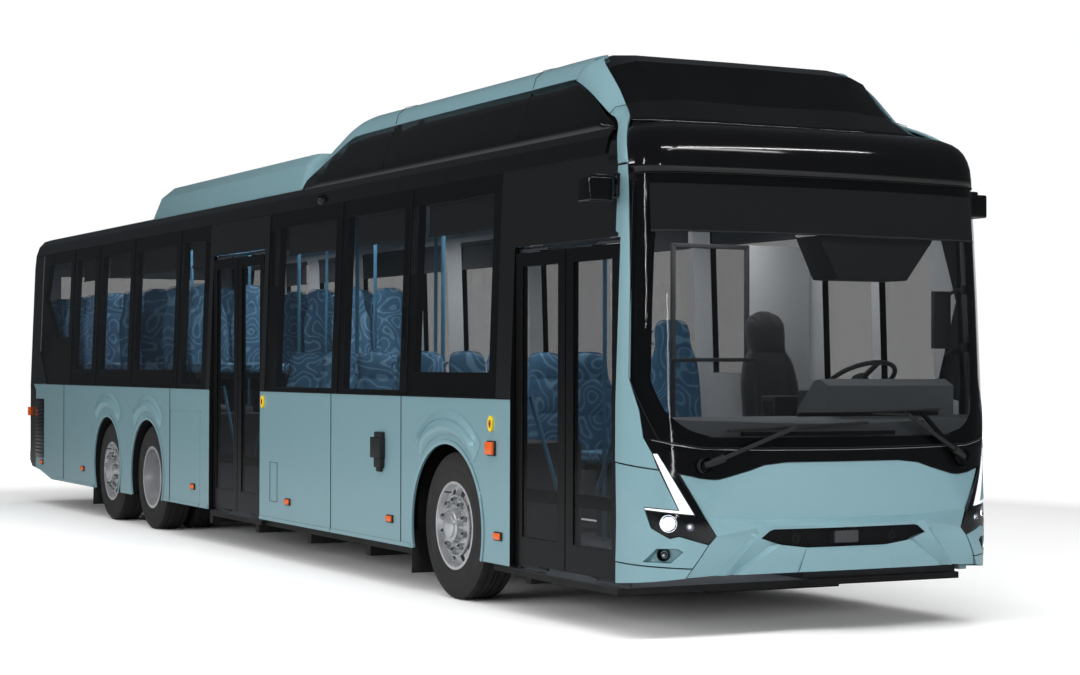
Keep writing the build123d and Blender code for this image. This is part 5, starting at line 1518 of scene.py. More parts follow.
        # x, distance, height along the panels' edge, and the same along the dome's
        low = [(1.2295, 0.576, 2.764), (1.208, 0.624, 2.912), (1.160, 0.697, 3.010),
               (1.128, 0.790, 3.066), (1.096, 0.915, 3.104), (1.092, 1.035, 3.178),
               (1.075, 1.190, 3.262),
               (1.062, 1.325, 3.326), (1.050, 1.430, 3.364), (1.040, 1.540, 3.380),
               (1.036, 2.80, 3.382), (1.036, 4.10, 3.378), (1.040, 4.920, 3.370),
               (1.052, 5.140, 3.350), (1.078, 5.400, 3.262), (1.105, 5.600, 3.186),
               (1.135, 5.880, 3.080), (1.150, 5.985, 2.990)]
        high = [(1.2285, 0.466, 2.764), (1.210, 0.516, 2.902), (1.162, 0.592, 3.000),
                (1.088, 0.700, 3.072), (1.000, 0.900, 3.158), (0.982, 1.010, 3.262),
                (0.974, 1.110, 3.352),
                (0.955, 1.230, 3.440), (0.920, 1.330, 3.498), (0.870, 1.460, 3.529),
                (0.860, 2.80, 3.530), (0.860, 4.10, 3.530), (0.868, 4.97, 3.528),
                (0.895, 5.28, 3.475), (0.925, 5.520, 3.400), (0.955, 5.70, 3.320),
                (1.000, 5.88, 3.170), (1.040, 5.975, 3.010)]
        rows = []
        for a, b in self.denser(low, high):
            edge = Vector((side * a[0], aft(a[1]), a[2]))
            far = Vector((side * b[0], aft(b[1]), b[2]))
            swell = 0.004 + 0.030 * max(0, min(1, (a[2] - 3.16) / 0.20))
            if a[1] < 2:
                edge += Vector((0, -0.003, 0.002))
                far += Vector((0, -0.003, 0.002))
            away = Vector((side * 0.75, 0, 0.66))
            row = [edge - Vector((side * 0.014, 0, 0.004))]
            row += [edge.lerp(far, t) + away * swell * math.sin(math.pi * t) ** 0.8
                    for t in (0, 0.12, 0.3, 0.5, 0.7, 0.88, 1)]
            row.append(far - Vector((side * 0.004, 0, 0.016)))
            rows.append(row)
        fix(Shape().grid(rows, 0, True), f"roof_hoop_{word}", "blue_paint", "body_paint", thick=0.004,
            offset=1, crease=60)
        seams = Shape()
        for d in (2.05, 4.30):
            seams.tube([(side * 1.0405, aft(d), 3.384), (side * 1.022, aft(d), 3.455),
                        (side * 0.958, aft(d), 3.512), (side * 0.862, aft(d), 3.536)], 0.002, sides=6)
        seams.tube([(side * 1.104, aft(0.905), 3.104), (side * 1.078, aft(0.880), 3.142),
                    (side * 1.003, aft(0.885), 3.160)], 0.002, sides=6)
        fix(seams, f"hoop_joints_{word}", "shadow_gap", "black_trim")

    def denser(self, low, high):
        """More stations along the hoop, on smooth lines through the given ones."""
        full = []
        for i in range(len(low) - 1):
            span = [max(i - 1, 0), i, i + 1, min(i + 2, len(low) - 1)]
            for j in range(4):
                t = j / 4
                pair = []
                for line in (low, high):
                    p, q, r, u = (Vector(line[k]) for k in span)
                    straight = q.lerp(r, t)
                    curved = 0.5 * (2 * q + (r - p) * t + (2 * p - 5 * q + 4 * r - u) * t * t
                                    + (3 * q - p - 3 * r + u) * t ** 3)
                    pair.append(straight if (r - q).length > 0.5 else curved)
                full.append(tuple(pair))
        return full + [(Vector(low[-1]), Vector(high[-1]))]

    def pod(self):
        """The low rear pod, blue, with a crease along its sides and a lidded top."""
        shape = Shape()
        rows = []
        for z, fore, rear, half in LOW_POD:
            rows.append(loop_at(half, aft(fore), aft(rear), z, 0.10, 4))
        shape.grid(rows, 0, True, closed=True)
        shape.add(rows[-1], [list(range(len(rows[-1])))], 0)
        fix(shape, "rear_pod", "blue_paint", "body_paint", bevel=0.012, segments=2, crease=28)
        lids = Shape()
        for low, high in ((6.25, 7.45), (7.55, 8.75), (8.85, 9.95)):
            lids.box((-0.80, aft(low), 3.322), (0.80, aft(high), 3.334))
        for low, high in ((1.75, 2.75), (2.85, 3.85), (3.95, 4.85)):
            lids.box((-0.74, aft(low), 3.520), (0.74, aft(high), 3.529))
        fix(lids, "roof_lids", "black_trim", "black_trim", bevel=0.004)


AXLES = (("front", "front_wheel"), ("tag", "tag_wheel"), ("drive", "drive_wheels"))
TWIN_PITCH = 0.330              # how far inside the outer one a twin tyre sits


class BUS_OT_running_gear(bpy.types.Operator):
    """Paints the frame, axles and floor, and builds the tyres, wheel nuts and hubs"""
    bl_idname = "bus.running_gear"
    bl_label = "Running gear"

    def execute(self, context):
        for node in ("chassis_frame", "front_axle", "drive_axle", "tag_axle", "tie_rod",
                     "right_knuckle", "left_knuckle", "battery_packs", "drive_motor"):
            dress(node, "chassis_paint")
        dress("floor", "floor_vinyl", "dark_plastic", "chassis_paint", choose=self.floor_faces)
        for word in ("right", "left"):
            for axle in ("front", "tag", "drive"):
                dress(f"{axle}_rim_{word}", "polished_alloy")
        self.tyres()
        self.hub_fittings()
        return {"FINISHED"}

    def tyre(self, centre, inner, face):
        """A tyre in the place of the CAD one: beaded walls, blocks between grooves, sipes."""
        # distance in from the outer face, radius
        wide, high = 0.280, 0.500
        wall = [(0.020, 0.290), (0.010, 0.305), (0.002, 0.345), (0.000, 0.385), (0.004, 0.392),
                (0.004, 0.398), (0.001, 0.404), (0.006, 0.445), (0.016, 0.478), (0.026, 0.492)]
        groove = sizes().tread
        crown = []
        for start, end in ((0.032, 0.072), (0.080, 0.122), (0.128, 0.152), (0.158, 0.200),
                           (0.208, 0.248)):
            crown += [(start, high - groove), (start + 0.002, high - 0.0006),
                      (end - 0.002, high - 0.0006), (end, high - groove)]
        profile = wall + crown + [(wide - d, r) for d, r in wall[::-1]]
        back = [(wide - 0.030, 0.287), (0.030, 0.287)]
        sign = 1 if face > 0 else -1
        steps = 96
        rows = []
        for along, radius in profile + back:
            x = face - sign * (inner + along)
            row = []
            for i in range(steps):
                a = math.tau * i / steps
                r = radius
                # cross cuts: every fourth step of the shoulders drops to the groove's floor
                if radius > high - 0.001 and i % 4 == 0 and (along < 0.073 or along > 0.207):
                    r = high - groove * 0.7
                elif radius > high - 0.001 and i % 4 == 2:
                    r = high - groove * 0.35
                row.append(Vector((x, centre[0] + r * math.cos(a), centre[1] + r * math.sin(a))))
            rows.append(row)
        rows.append(rows[0])
        return Shape().grid(rows, 0, True, closed=True)

    def tyres(self):
        """One tyre on each steered and tag wheel, and twins on the drive axle."""
        for word, sign in (("right", -1), ("left", 1)):
            for axle, body in AXLES:
                node = f"{axle}_tyres_{word}" if axle == "drive" else f"{axle}_tyre_{word}"
                low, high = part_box(node)
                centre = ((low.y + high.y) / 2, (low.z + high.z) / 2)
                face = sign * max(abs(low.x), abs(high.x))
                shape = self.tyre(centre, 0.0, face)
                if axle == "drive":
                    shape.join(self.tyre(centre, TWIN_PITCH, face))
                fix(shape, f"{axle}_tread_{word}", "tyre_rubber", "tyre", node, body=f"{body}_{word}",
                    crease=40)

    def nut_tree(self):
        """Geometry Nodes: a ring of nuts, each instance turned to face outwards."""
        tree = bpy.data.node_groups.new("wheel_nuts", "GeometryNodeTree")
        for name, kind, value in (("Count", "NodeSocketInt", 10),
                                  ("Ring", "NodeSocketFloat", 0.1675),
                                  ("Width", "NodeSocketFloat", 0.032),
                                  ("Length", "NodeSocketFloat", 0.03)):
            socket = tree.interface.new_socket(name, in_out="INPUT", socket_type=kind)
            socket.default_value = value
        tree.interface.new_socket("Material", in_out="INPUT", socket_type="NodeSocketMaterial")
        tree.interface.new_socket("Geometry", in_out="OUTPUT", socket_type="NodeSocketGeometry")
        given = add(tree, "NodeGroupInput").outputs
        ring = add(tree, "GeometryNodeMeshCircle", {"Vertices": given["Count"],
                                                    "Radius": given["Ring"]})
        # the nut's corner radius, then its cap's top, foot, height and place
        half, top, foot, low, lifted = (
            add(tree, "ShaderNodeMath", {0: given[source], 1: share}, operation="MULTIPLY").outputs[0]
            for source, share in (("Width", 0.577), ("Width", 0.577 * 0.5), ("Width", 0.577 * 0.92),
                                  ("Length", 0.5), ("Length", 0.5)))
        nut = add(tree, "GeometryNodeMeshCylinder", {"Vertices": 6, "Radius": half,
                                                     "Depth": given["Length"]})
        cap = add(tree, "GeometryNodeMeshCone", {
            "Vertices": 12, "Radius Top": top, "Radius Bottom": foot, "Depth": low})
        lift = add(tree, "ShaderNodeCombineXYZ", {"Z": lifted})
        cap = add(tree, "GeometryNodeTransform", {"Geometry": cap.outputs["Mesh"],
                                                  "Translation": lift.outputs[0]})
        both = add(tree, "GeometryNodeJoinGeometry")
        tree.links.new(nut.outputs["Mesh"], both.inputs[0])
        tree.links.new(cap.outputs[0], both.inputs[0])
        spread = add(tree, "GeometryNodeInstanceOnPoints", {"Points": ring.outputs["Mesh"],
                                                            "Instance": both.outputs[0]})
        real = add(tree, "GeometryNodeRealizeInstances", {"Geometry": spread.outputs[0]})
        dressed = add(tree, "GeometryNodeSetMaterial", {"Geometry": real.outputs[0],
                                                        "Material": given["Material"]})
        out = add(tree, "NodeGroupOutput")
        tree.links.new(dressed.outputs[0], out.inputs["Geometry"])
        return tree

    def hub_fittings(self):
        """Wheel nuts, the hub's capped end and the valve of each wheel."""
        tree = self.nut_tree()
        for word, sign in (("right", -1), ("left", 1)):
            for axle, body in AXLES:
                node = f"{axle}_rim_{word}"
                low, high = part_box(node)
                y, z = (low.y + high.y) / 2, (low.z + high.z) / 2
                disc = self.disc_face(node)
                ring = Shape().piece(f"{axle}_nuts_{word}", [finish("bright_steel")], merge=0)
                made = ring.modifiers.new("Nuts", "NODES")
                made.node_group = tree
                socket = {item.name: item.identifier for item in tree.interface.items_tree}
                made[socket["Width"]] = sizes().nut
                made[socket["Material"]] = finish("bright_steel")
                settle(ring)
                turn = Matrix.Translation((sign * (disc + 0.012), y, z)) @ Matrix.Rotation(
                    sign * math.pi / 2, 4, "Y")
                ring.data.transform(turn)
                place(ring, f"{body}_{word}", "alloy")
                hub = Shape()
                if axle != "drive":
                    hub.lathe([(-0.02, 0.122), (0.004, 0.122), (0.012, 0.116), (0.040, 0.112),
                               (0.045, 0.106), (0.046, 0.086), (0.056, 0.082), (0.060, 0.074),
                               (0.061, 0.0)], 48, 0, "Z")
                else:
                    hub.lathe([(-0.02, 0.128), (0.10, 0.124), (0.125, 0.118), (0.130, 0.110),
                               (0.131, 0.080), (0.146, 0.076), (0.150, 0.0)], 48, 0, "Z")
                hub.lathe([(-0.006, 0.212), (0.002, 0.210), (0.004, 0.204), (0.002, 0.198),
                           (-0.006, 0.196)], 60, 0, "Z")
                valve = [(0.232 * math.cos(0.3), 0.232 * math.sin(0.3), 0.0),
                         (0.236 * math.cos(0.3), 0.236 * math.sin(0.3), 0.05)]
                hub.tube(valve, 0.005, 1, 8)
                whole = Shape().join(hub, Matrix.Translation((sign * disc, y, z)) @ Matrix.Rotation(
                    sign * math.pi / 2, 4, "Y"))
                fix(whole, f"{axle}_hub_{word}", "polished_alloy rubber", "alloy",
                    body=f"{body}_{word}", crease=40)

    def disc_face(self, node):
        """How far out the disc of a rim lies where the nuts sit."""
        mesh = NODES[node].data
        low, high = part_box(node)
        y, z = (low.y + high.y) / 2, (low.z + high.z) / 2
        found = [abs(v.co.x) for v in mesh.vertices
                 if 0.13 < math.hypot(v.co.y - y, v.co.z - z) < 0.205]
        return max(found) if found else max(abs(low.x), abs(high.x))

    def floor_faces(self, centre, normal):
        """Vinyl on top; wax-coated steel below and along the skirt; anthracite moulding on the steps'
        sides.
        """
        for d, z, _ in ARCHES:
            hub = Vector((centre.x * 1.2, aft(d), 0.5))
            if abs(centre.x) > 0.55 and (hub - centre).length < 0.95 and normal.dot(hub - centre) > 0:
                return 2
        if normal.z > 0.5:
            return 0
        return 2 if normal.z < -0.5 or abs(centre.x) > 1.19 or centre.z < SKIRT_FOOT else 1


class BUS_OT_glazing(bpy.types.Operator):
    """Glazes the windscreen and the windows, with the printed band, blinds and driver's hood"""
    bl_idname = "bus.glazing"
    bl_label = "Glazing"

    def execute(self, context):
        self.band()
        self.blinds()
        dress("windscreen", "tinted_glass")
        dress("side_windows", "tinted_glass")
        dress("windscreen_surround", "gloss_black")
        dress("tail_lamps", "red_lens")
        dress("wipers", "gloss_black")
        self.wiper_blades()
        self.pods()
        dress("door_gear_covers", "dark_plastic")
        return {"FINISHED"}

    def band(self):
        """The shaded film behind the top of the windscreen and its border, and the hood below."""
        top = [(0, 2.698), (0.70, 2.698), (1.06, 2.698), (1.17, 2.698)]
        low = [(0, 2.365), (0.70, 2.365), (1.06, 2.365), (1.17, 2.365)]
        loop = [front(-x, z) for x, z in top[::-1]] + [front(x, z) for x, z in top[1:]]
        loop += [front(x, z) for x, z in low[::-1]] + [front(-x, z) for x, z in low[1:]]
        made = skin_panel("screen_band", [finish("blind_cloth")], loop, out=-0.014, thick=0.002)
        place(made, "bus", "black_trim")
        hem = Shape().tube([on_skin(girth_at_x(i * 0.045, 2.365), 2.365, -0.016)
                            for i in range(-26, 27)], 0.007, sides=8)
        fix(hem, "band_hem", "dark_plastic", "black_trim")
        # the driver's hood: a tapering box under the band
        outer = [(-0.10, 2.362), (0.80, 2.362), (0.56, 2.105), (0.03, 2.105)]
        rows = [[on_skin(girth_at_x(x, z), z, -0.045) for x, z in outer],
                [Vector((x * 0.98, aft(0.42), z)) for x, z in outer]]
        hood = Shape().grid(rows, 0, False, closed=True, caps=True)
        fix(hood, "drivers_hood", "dark_plastic", "dark_plastic", bevel=0.012)
        # gasket between the glass and the black border
        path = [front(*p) for p in ((0, 1.108), (0.93, 1.118), (1.16, 1.160))]
        path += [flank(0.395, 1.52), flank(0.405, 2.0), flank(0.415, 2.69)]
        for side, word in ((1, "left"), (-1, "right")):
            line = []
            for (g0, z0), (g1, z1) in zip(path, path[1:]):
                line += [on_skin(side * (g0 + (g1 - g0) * i / 8), z0 + (z1 - z0) * i / 8, 0.0005)
                         for i in range(8)]
            gasket = Shape().tube(line, 0.003, sides=6)
            fix(gasket, f"screen_gasket_{word}", "rubber", "black_trim")

    def pods(self):
        """The camera pods that stand in for mirrors: a root, an arm and a rounded head."""
        low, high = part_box("camera_pods")
        for side, word in ((1, "left"), (-1, "right")):
            shape = Shape()
            for x0, x1, y0, y1, z0, z1 in (
                    (1.215, 1.262, 0.020, 0.150, 0.030, 0.178),
                    (1.240, 1.300, 0.035, 0.135, 0.045, 0.165),
                    (1.285, high.x - 0.002, 0.004, 0.156, 0.004, 0.150)):
                xs = sorted((side * x0, side * x1))
                shape.box((xs[0], low.y + y0, low.z + z0), (xs[1], low.y + y1, low.z + z1))
            shape.box((min(side * 1.27, side * 1.40), low.y + 0.03, low.z + 0.148),
                      (max(side * 1.27, side * 1.40), low.y + 0.12, low.z + 0.172))
            fix(shape, f"pod_{word}", "gloss_black", "black_trim", "camera_pods", bevel=0.016,
                segments=4)
            eye = Shape()
            for height in (0.050, 0.102):
                eye.lathe([(0.0, 0.0), (0.002, 0.014), (0.004, 0.020), (-0.006, 0.023)], 24, 0, "Y",
                          (side * 1.375, high.y - 0.006, low.z + height))
            fix(eye, f"pod_lenses_{word}", "screen_dark", "black_trim")

    def wiper_blades(self):
        """Pivot covers, thick arms and long blades over the CAD arms."""
        arms, rubbers = Shape(), Shape()
        for pivot, elbow, tips in (((-0.944, 1.018), (-0.36, 1.235), ((-0.78, 1.215), (0.16, 1.255))),
                                   ((0.885, 1.040), (0.44, 1.300), ((-0.15, 1.300), (0.72, 1.330)))):
            shown = [on_skin(girth_at_x(x, z), z, out) for x, z, out in (
                (*pivot, 0.030), ((pivot[0] * 0.8 + elbow[0] * 0.2), pivot[1] * 0.8 + elbow[1] * 0.2,
                                  0.048), (*elbow, 0.050))]
            arms.tube(shown[:2], 0.024, sides=12)
            arms.tube(shown[1:], 0.013, sides=10)
            base = on_skin(girth_at_x(*pivot), pivot[1], 0.0)
            arms.lathe([(0.034, 0.0), (0.034, 0.030), (0.026, 0.042), (-0.02, 0.046)][::-1], 20, 0, "Y",
                       base - Vector((0, 0.036, 0)))
            line = []
            for i in range(13):
                x = tips[0][0] + (tips[1][0] - tips[0][0]) * i / 12
                z = tips[0][1] + (tips[1][1] - tips[0][1]) * i / 12
                line.append(on_skin(girth_at_x(x, z), z, 0.022))
            rubbers.tube(line, 0.008, sides=8)
            rubbers.tube([p - Vector((0, -0.012, 0)) for p in line], 0.004, sides=6)
            rubbers.tube([line[4], shown[2], line[8]], 0.007, sides=8)
        fix(arms, "wiper_arms", "black_trim", "black_trim")
        fix(rubbers, "wiper_rubbers", "rubber", "black_trim")

    def blinds(self):
        """Roller blinds, drawn a little, inside the side windows, each with its hem bar."""
        cloth, bars = Shape(), Shape()
        for side, windows in ((-1, RIGHT_PANES), (1, LEFT_PANES)):
            for low, high in windows:
                x = side * (wall_x(2.55) - 0.075)
                cloth.box((x - 0.0015, aft(low + 0.05), 2.50), (x + 0.0015, aft(high - 0.05), 2.71))
                bars.tube([(x, aft(low + 0.04), 2.495), (x, aft(high - 0.04), 2.495)], 0.009, sides=8)
                bars.tube([(x, aft(low + 0.04), 2.722), (x, aft(high - 0.04), 2.722)], 0.022, sides=12)
        fix(cloth, "roller_blinds", "blind_cloth", "seat_fabric")
        fix(bars, "blind_bars", "dark_plastic", "dark_plastic")


RIGHT_PANES = [(2.24, 3.45), (3.70, 4.77), (5.02, 6.25), (8.20, 8.80), (9.05, 10.30), (10.55, 11.55),
               (11.87, 12.58)]
LEFT_PANES = RIGHT_PANES + [(6.50, 7.88)]


class BUS_OT_doors(bpy.types.Operator):
    """Finishes the door leaves and their gear"""
    bl_idname = "bus.doors"
    bl_label = "Doors"

    def execute(self, context):
        for door in ("front_door", "rear_door"):
            for word in ("front", "rear"):
                self.leaf(f"{door}_{word}_leaf")
                dress(f"{door}_{word}_arm", "dark_plastic")
        return {"FINISHED"}

    def leaf(self, node):
        """Frame, glass and handle are told apart by how far out they lie."""
        mesh = NODES[node].data
        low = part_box(node)[0].x
        inner = low + 0.036
        dress(node, "door_black", "door_glass", "rail_coat")
        for face in mesh.polygons:
            xs = [mesh.vertices[i].co.x for i in face.vertices]
            zs = [mesh.vertices[i].co.z for i in face.vertices]
            if min(xs) > low + 0.0055 and max(xs) < low + 0.0145:
                inside_face = abs(max(xs) - min(xs)) < 1e-4 and face.normal.x < 0 and max(
                    xs) > low + 0.013
                face.material_index = 0 if inside_face else 1
            elif max(xs) > inner + 0.0006 and min(zs) > 0.74 and max(zs) < 1.41:
                face.material_index = 2


# ------------------------------------------------------------------ trim
class BUS_OT_trim(bpy.types.Operator):
    """Adds the markers, buttons, grilles, mud flaps, tail lamps and plate"""
    bl_idname = "bus.trim"
    bl_label = "Trim"

    def execute(self, context):
        for side, word in SIDES:
            self.markers(side, word)
            self.mud_flaps(side, word)
        self.buttons()
        self.louvre()
        self.side_fittings()
        self.tail()
        return {"FINISHED"}

    def patch(self, shape, side, d, z, wide, high, low, proud):
        """A box on the side, centred at a distance and height."""
        x0, x1 = sorted((side * wall_x(z, low), side * wall_x(z, proud)))
        return shape.box((x0, aft(d - wide / 2), z - high / 2),
                         (x1, aft(d + wide / 2), z + high / 2))

    def markers(self, side, word):
        """Amber side markers on black feet along the skirt, and the bump on the rear corner."""
        feet, lenses = {}, {}
        height = 0.485                  # of the markers along the skirt
        for d in (2.06, 3.83, 5.92, 8.37, 12.13, 13.88):
            body = carrier(side, d)
            self.patch(feet.setdefault(body, Shape()), side, d, height, 0.112, 0.056, -0.002, 0.006)
            self.patch(lenses.setdefault(body, Shape()), side, d, height, 0.098, 0.044, 0.004,
                       0.018)
        self.patch(lenses["bus"], side, 14.44, 1.05, 0.045, 0.10, -0.020, 0.026)
        if side < 0:
            self.patch(feet["bus"], side, 2.16, 1.049, 0.118, 0.098, -0.002, 0.008)
            self.patch(lenses["bus"], side, 2.16, 1.049, 0.104, 0.084, 0.006, 0.030)
        fix_by_body(feet, f"marker_feet_{word}", "black_trim", "black_trim", bevel=0.002)
        fix_by_body(lenses, f"marker_lenses_{word}", "amber_lens", "lamp_lens", bevel=0.007,
                    segments=3)

    def mud_flaps(self, side, word):
        """Rubber flaps behind the front and the last wheel, with a stiffening rib."""
        shape = Shape()
        for d in (3.475, 11.79):
            rows = []
            for i in range(9):
                z = 0.125 + 0.30 * i / 8
                bow = 0.012 * (1 - i / 8) ** 2
                rows.append([(side * x, aft(d + bow + 0.004 * math.sin(x * 30)), z)
                             for x in (0.94, 1.02, 1.10, 1.18, 1.255)])
            shape.grid(rows, 0, True)
        fix(shape, f"mud_flaps_{word}", "rubber", "dark_plastic", thick=0.008)

    def buttons(self):
        """Oval door buttons: a yellow ring round a red cap."""
        ring, cap = Shape(), Shape()
        for d, z in ((2.17, 1.207), (6.52, 1.281)):
            where = Matrix.Translation((-wall_x(z), aft(d), z)) @ Matrix.Diagonal((-0.8, 0.48, 0.76, 1))
            ring.join(Shape().lathe([(-0.004, 0.070), (0.008, 0.070), (0.014, 0.064), (0.014, 0.040),
                                     (0.008, 0.036)], 36), where)
            cap.join(Shape().lathe([(0.006, 0.037), (0.012, 0.034), (0.018, 0.022), (0.020, 0.0)],
                                   28), where)
        fix(ring, "button_rings", "yellow_button", "lamp_lens")
        fix(cap, "button_caps", "red_lens", "lamp_lens")

    def louvre(self):
        """The engine bay's intake on each side, a frame round sloping slats."""
        for side, word in SIDES:
            edging, slats = Shape(), Shape()
            self.patch(edging, side, 13.995, 0.865, 0.37, 0.67, -0.004, 0.004)
            for index in range(15):
                z = 0.575 + index * 0.041
                x = side * wall_x(z)
                edge = x + side * 0.008
                slats.grid([[(x, aft(d), z), (edge, aft(d), z + 0.010), (edge, aft(d), z + 0.014),
                             (x, aft(d), z + 0.026)] for d in (13.84, 14.15)],
                           0, False, closed=True, caps=True)
            body = carrier(side, 13.995)
            fix(edging, f"louvre_frame_{word}", "gloss_black", "black_trim", body=body, bevel=0.003)
            fix(slats, f"louvre_slats_{word}", "black_trim", "black_trim", body=body)

    def side_fittings(self):
        """The black stepped latch cover, the roof-edge camera and the filler flap's joint."""
        shape = Shape()
        for d, z, wide, high, proud in (
                (4.000, 1.080, 0.13, 0.05, 0.030), (4.020, 0.990, 0.18, 0.15, 0.042),
                (4.000, 0.890, 0.12, 0.09, 0.034), (4.010, 0.835, 0.08, 0.04, 0.020)):
            self.patch(shape, -1, d, z, wide, high, -0.002, proud)
        fix(shape, "latch_cover", "black_trim", "black_trim", bevel=0.006)
        eye = Shape()
        for side in (-1, 1):
            x = side * (wall_x(2.90) - 0.004)
            ball = [(-0.01 * side, 0.050), (0.012 * side, 0.048), (0.034 * side, 0.036),
                    (0.046 * side, 0.018), (0.049 * side, 0.0)]
            eye.lathe(ball, 24, 0, "X", (x, aft(5.35), 2.885))
        fix(eye, "roof_edge_cameras", "gloss_black", "black_trim")
        lines = Shape()
        for side in (-1, 1):
            for ends in (((6.17, 0.47), (6.34, 0.47)), ((6.34, 0.47), (6.34, 0.79)),
                         ((6.34, 0.79), (6.17, 0.79)), ((6.17, 0.79), (6.17, 0.47))):
                (d0, z0), (d1, z1) = ends
                x = side * wall_x(0.6, 0.0004)
                lines.tube([(x, aft(d0), z0), (x, aft(d1), z1)], 0.0016, sides=6)
        fix(lines, "filler_flap_joint", "shadow_gap", "black_trim")

    def tail(self):
        """The high brake lamp, the bumper reflectors, lamp rims, hatch slats and the blank plate."""
        y = TAIL - 0.0085
        slats, lamps, rims = Shape(), Shape(), Shape()
        lamps.box((-0.22, y - 0.002, 2.655), (0.22, y + 0.006, 2.685))
        for index in range(9):
            z = 0.86 + index * 0.045
            slats.box((-0.62, y - 0.002, z), (0.62, y + 0.006, z + 0.022))
        for side in (-1, 1):
            for z in (0.80, 0.98, 1.16, 1.34):
                rims.lathe([(-0.006, 0.072), (0.006, 0.072), (0.007, 0.066), (0.002, 0.060)],
                           32, 0, "Y", (side * 1.09, y, z))
            lamps.box((side * 0.90 - 0.05, y - 0.002, 0.50), (side * 0.90 + 0.05, y + 0.006, 0.54))
        fix(lamps, "brake_lamps", "red_lens", "lamp_lens", bevel=0.003)
        fix(slats, "hatch_slats", "black_trim", "black_trim", body="rear_hatch", bevel=0.003)
        fix(rims, "tail_lamp_rims", "bright_steel", "lamp_lens")
        plate = Shape().box((-0.26, y - 0.002, 0.545), (0.26, y + 0.003, 0.655), 1)
        plate.box((-0.27, y - 0.002, 0.535), (0.27, y + 0.001, 0.665), 0)
        fix(plate, "number_plate", "black_trim plate_white", "black_trim")


# ------------------------------------------------------------------ soft goods
CELL = 0.011                # cell of the padded forms while they are blown up
SWELL = 0.020               # furthest that the cloth may move


def cushioned(name, cloth, rows, seams, held, faces):
    """A padded form: sewn along its seams, blown up as cloth under pressure, and thinned."""
    obj = Shape().grid(rows, closed=True, caps=True).piece(name, [cloth])
    cells = obj.modifiers.new("Remesh", "REMESH")
    cells.mode, cells.voxel_size = "VOXEL", CELL
    settle(obj)
    group = obj.vertex_groups.new(name="sewn")
    rest = []
    for vertex in obj.data.vertices:
        depth = min((abs(seam(vertex.co)) for seam in seams), default=1)
        if depth < CELL * 0.8:
            vertex.co -= vertex.normal * 0.006 * (1 - depth / (CELL * 0.8))
            group.add([vertex.index], 1.0, "REPLACE")
        elif held(vertex.co):
            group.add([vertex.index], 1.0, "REPLACE")
        rest.append(vertex.co.copy())
    padding = obj.modifiers.new("Cloth", "CLOTH").settings
    padding.use_pressure = True
    padding.uniform_pressure_force = 4
    padding.vertex_group_mass = group.name
    padding.effector_weights.gravity = 0
    padding.tension_stiffness = padding.compression_stiffness = 12
    padding.quality = 4
    for number in range(1, 21):
        bpy.context.scene.frame_set(number)
    settle(obj)
    bpy.context.scene.frame_set(1)
    for vertex, start in zip(obj.data.vertices, rest):
        moved = vertex.co - start
        if moved.length > SWELL:
            vertex.co = start + moved.normalized() * SWELL
    total = sum(len(face.vertices) - 2 for face in obj.data.polygons)
    thin = obj.modifiers.new("Decimate", "DECIMATE")
    thin.ratio = min(1, faces / total)
    settle(obj)
    obj.data.polygons.foreach_set("use_smooth", [True] * len(obj.data.polygons))
    return mesh_of(obj)


def mesh_of(obj):
    """The mesh of a part that is copied elsewhere, without its object."""
    mesh = obj.data
    bpy.data.objects.remove(obj)
    return mesh


def copies(name, parts, places):
    """One mesh that holds every part at every place. Parts are (mesh, finish) pairs."""
    work = bmesh.new()
    for index, (mesh, _) in enumerate(parts):
        for where in places:
            copy = mesh.copy()
            copy.transform(where)
            first = len(work.faces)
            work.from_mesh(copy)
            work.faces.ensure_lookup_table()
            for face in work.faces[first:]:
                face.material_index = index
            bpy.data.meshes.remove(copy)
    whole = bpy.data.meshes.new(name)
    work.to_mesh(whole)
    work.free()
    whole.materials.clear()
    for _, tint in parts:
        whole.materials.append(tint)
    obj = bpy.data.objects.new(name, whole)
    bpy.context.scene.collection.objects.link(obj)
    return obj


def outline_at(outline, level):
    """Half width of an outline of (half width, height) at a level."""
    for (w0, z0), (w1, z1) in zip(outline, outline[1:]):
        if level <= z1:
            return w0 + (w1 - w0) * max(0, level - z0) / (z1 - z0)
    return outline[-1][0]


# half width, height above the cushion
BACK_OUTLINE = [(0.190, -0.055), (0.198, 0.000), (0.203, 0.300), (0.192, 0.450), (0.160, 0.525),
                (0.150, 0.560), (0.150, 0.660), (0.135, 0.710), (0.105, 0.735), (0.060, 0.742)]
DRIVER_OUTLINE = [(0.205, 0.005), (0.222, 0.060), (0.222, 0.420), (0.195, 0.560), (0.150, 0.625),
                  (0.135, 0.655), (0.145, 0.700), (0.150, 0.800), (0.135, 0.865), (0.100, 0.900),
                  (0.050, 0.912)]


# distances of the rows on the low floor, over the axles and at the rear wall
LOW_ROWS = [4.20, 4.95, 5.70, 6.45]
HIGH_ROWS = [9.10, 9.85, 10.60, 11.35, 12.10, 12.85, 13.60]
LAST_ROW, WHEEL_BOX_ROW = 14.42, 3.42
LOW_TOP, HIGH_TOP, WHEEL_BOX_TOP = 0.950, 1.610, 1.185      # heights of the cushions' tops


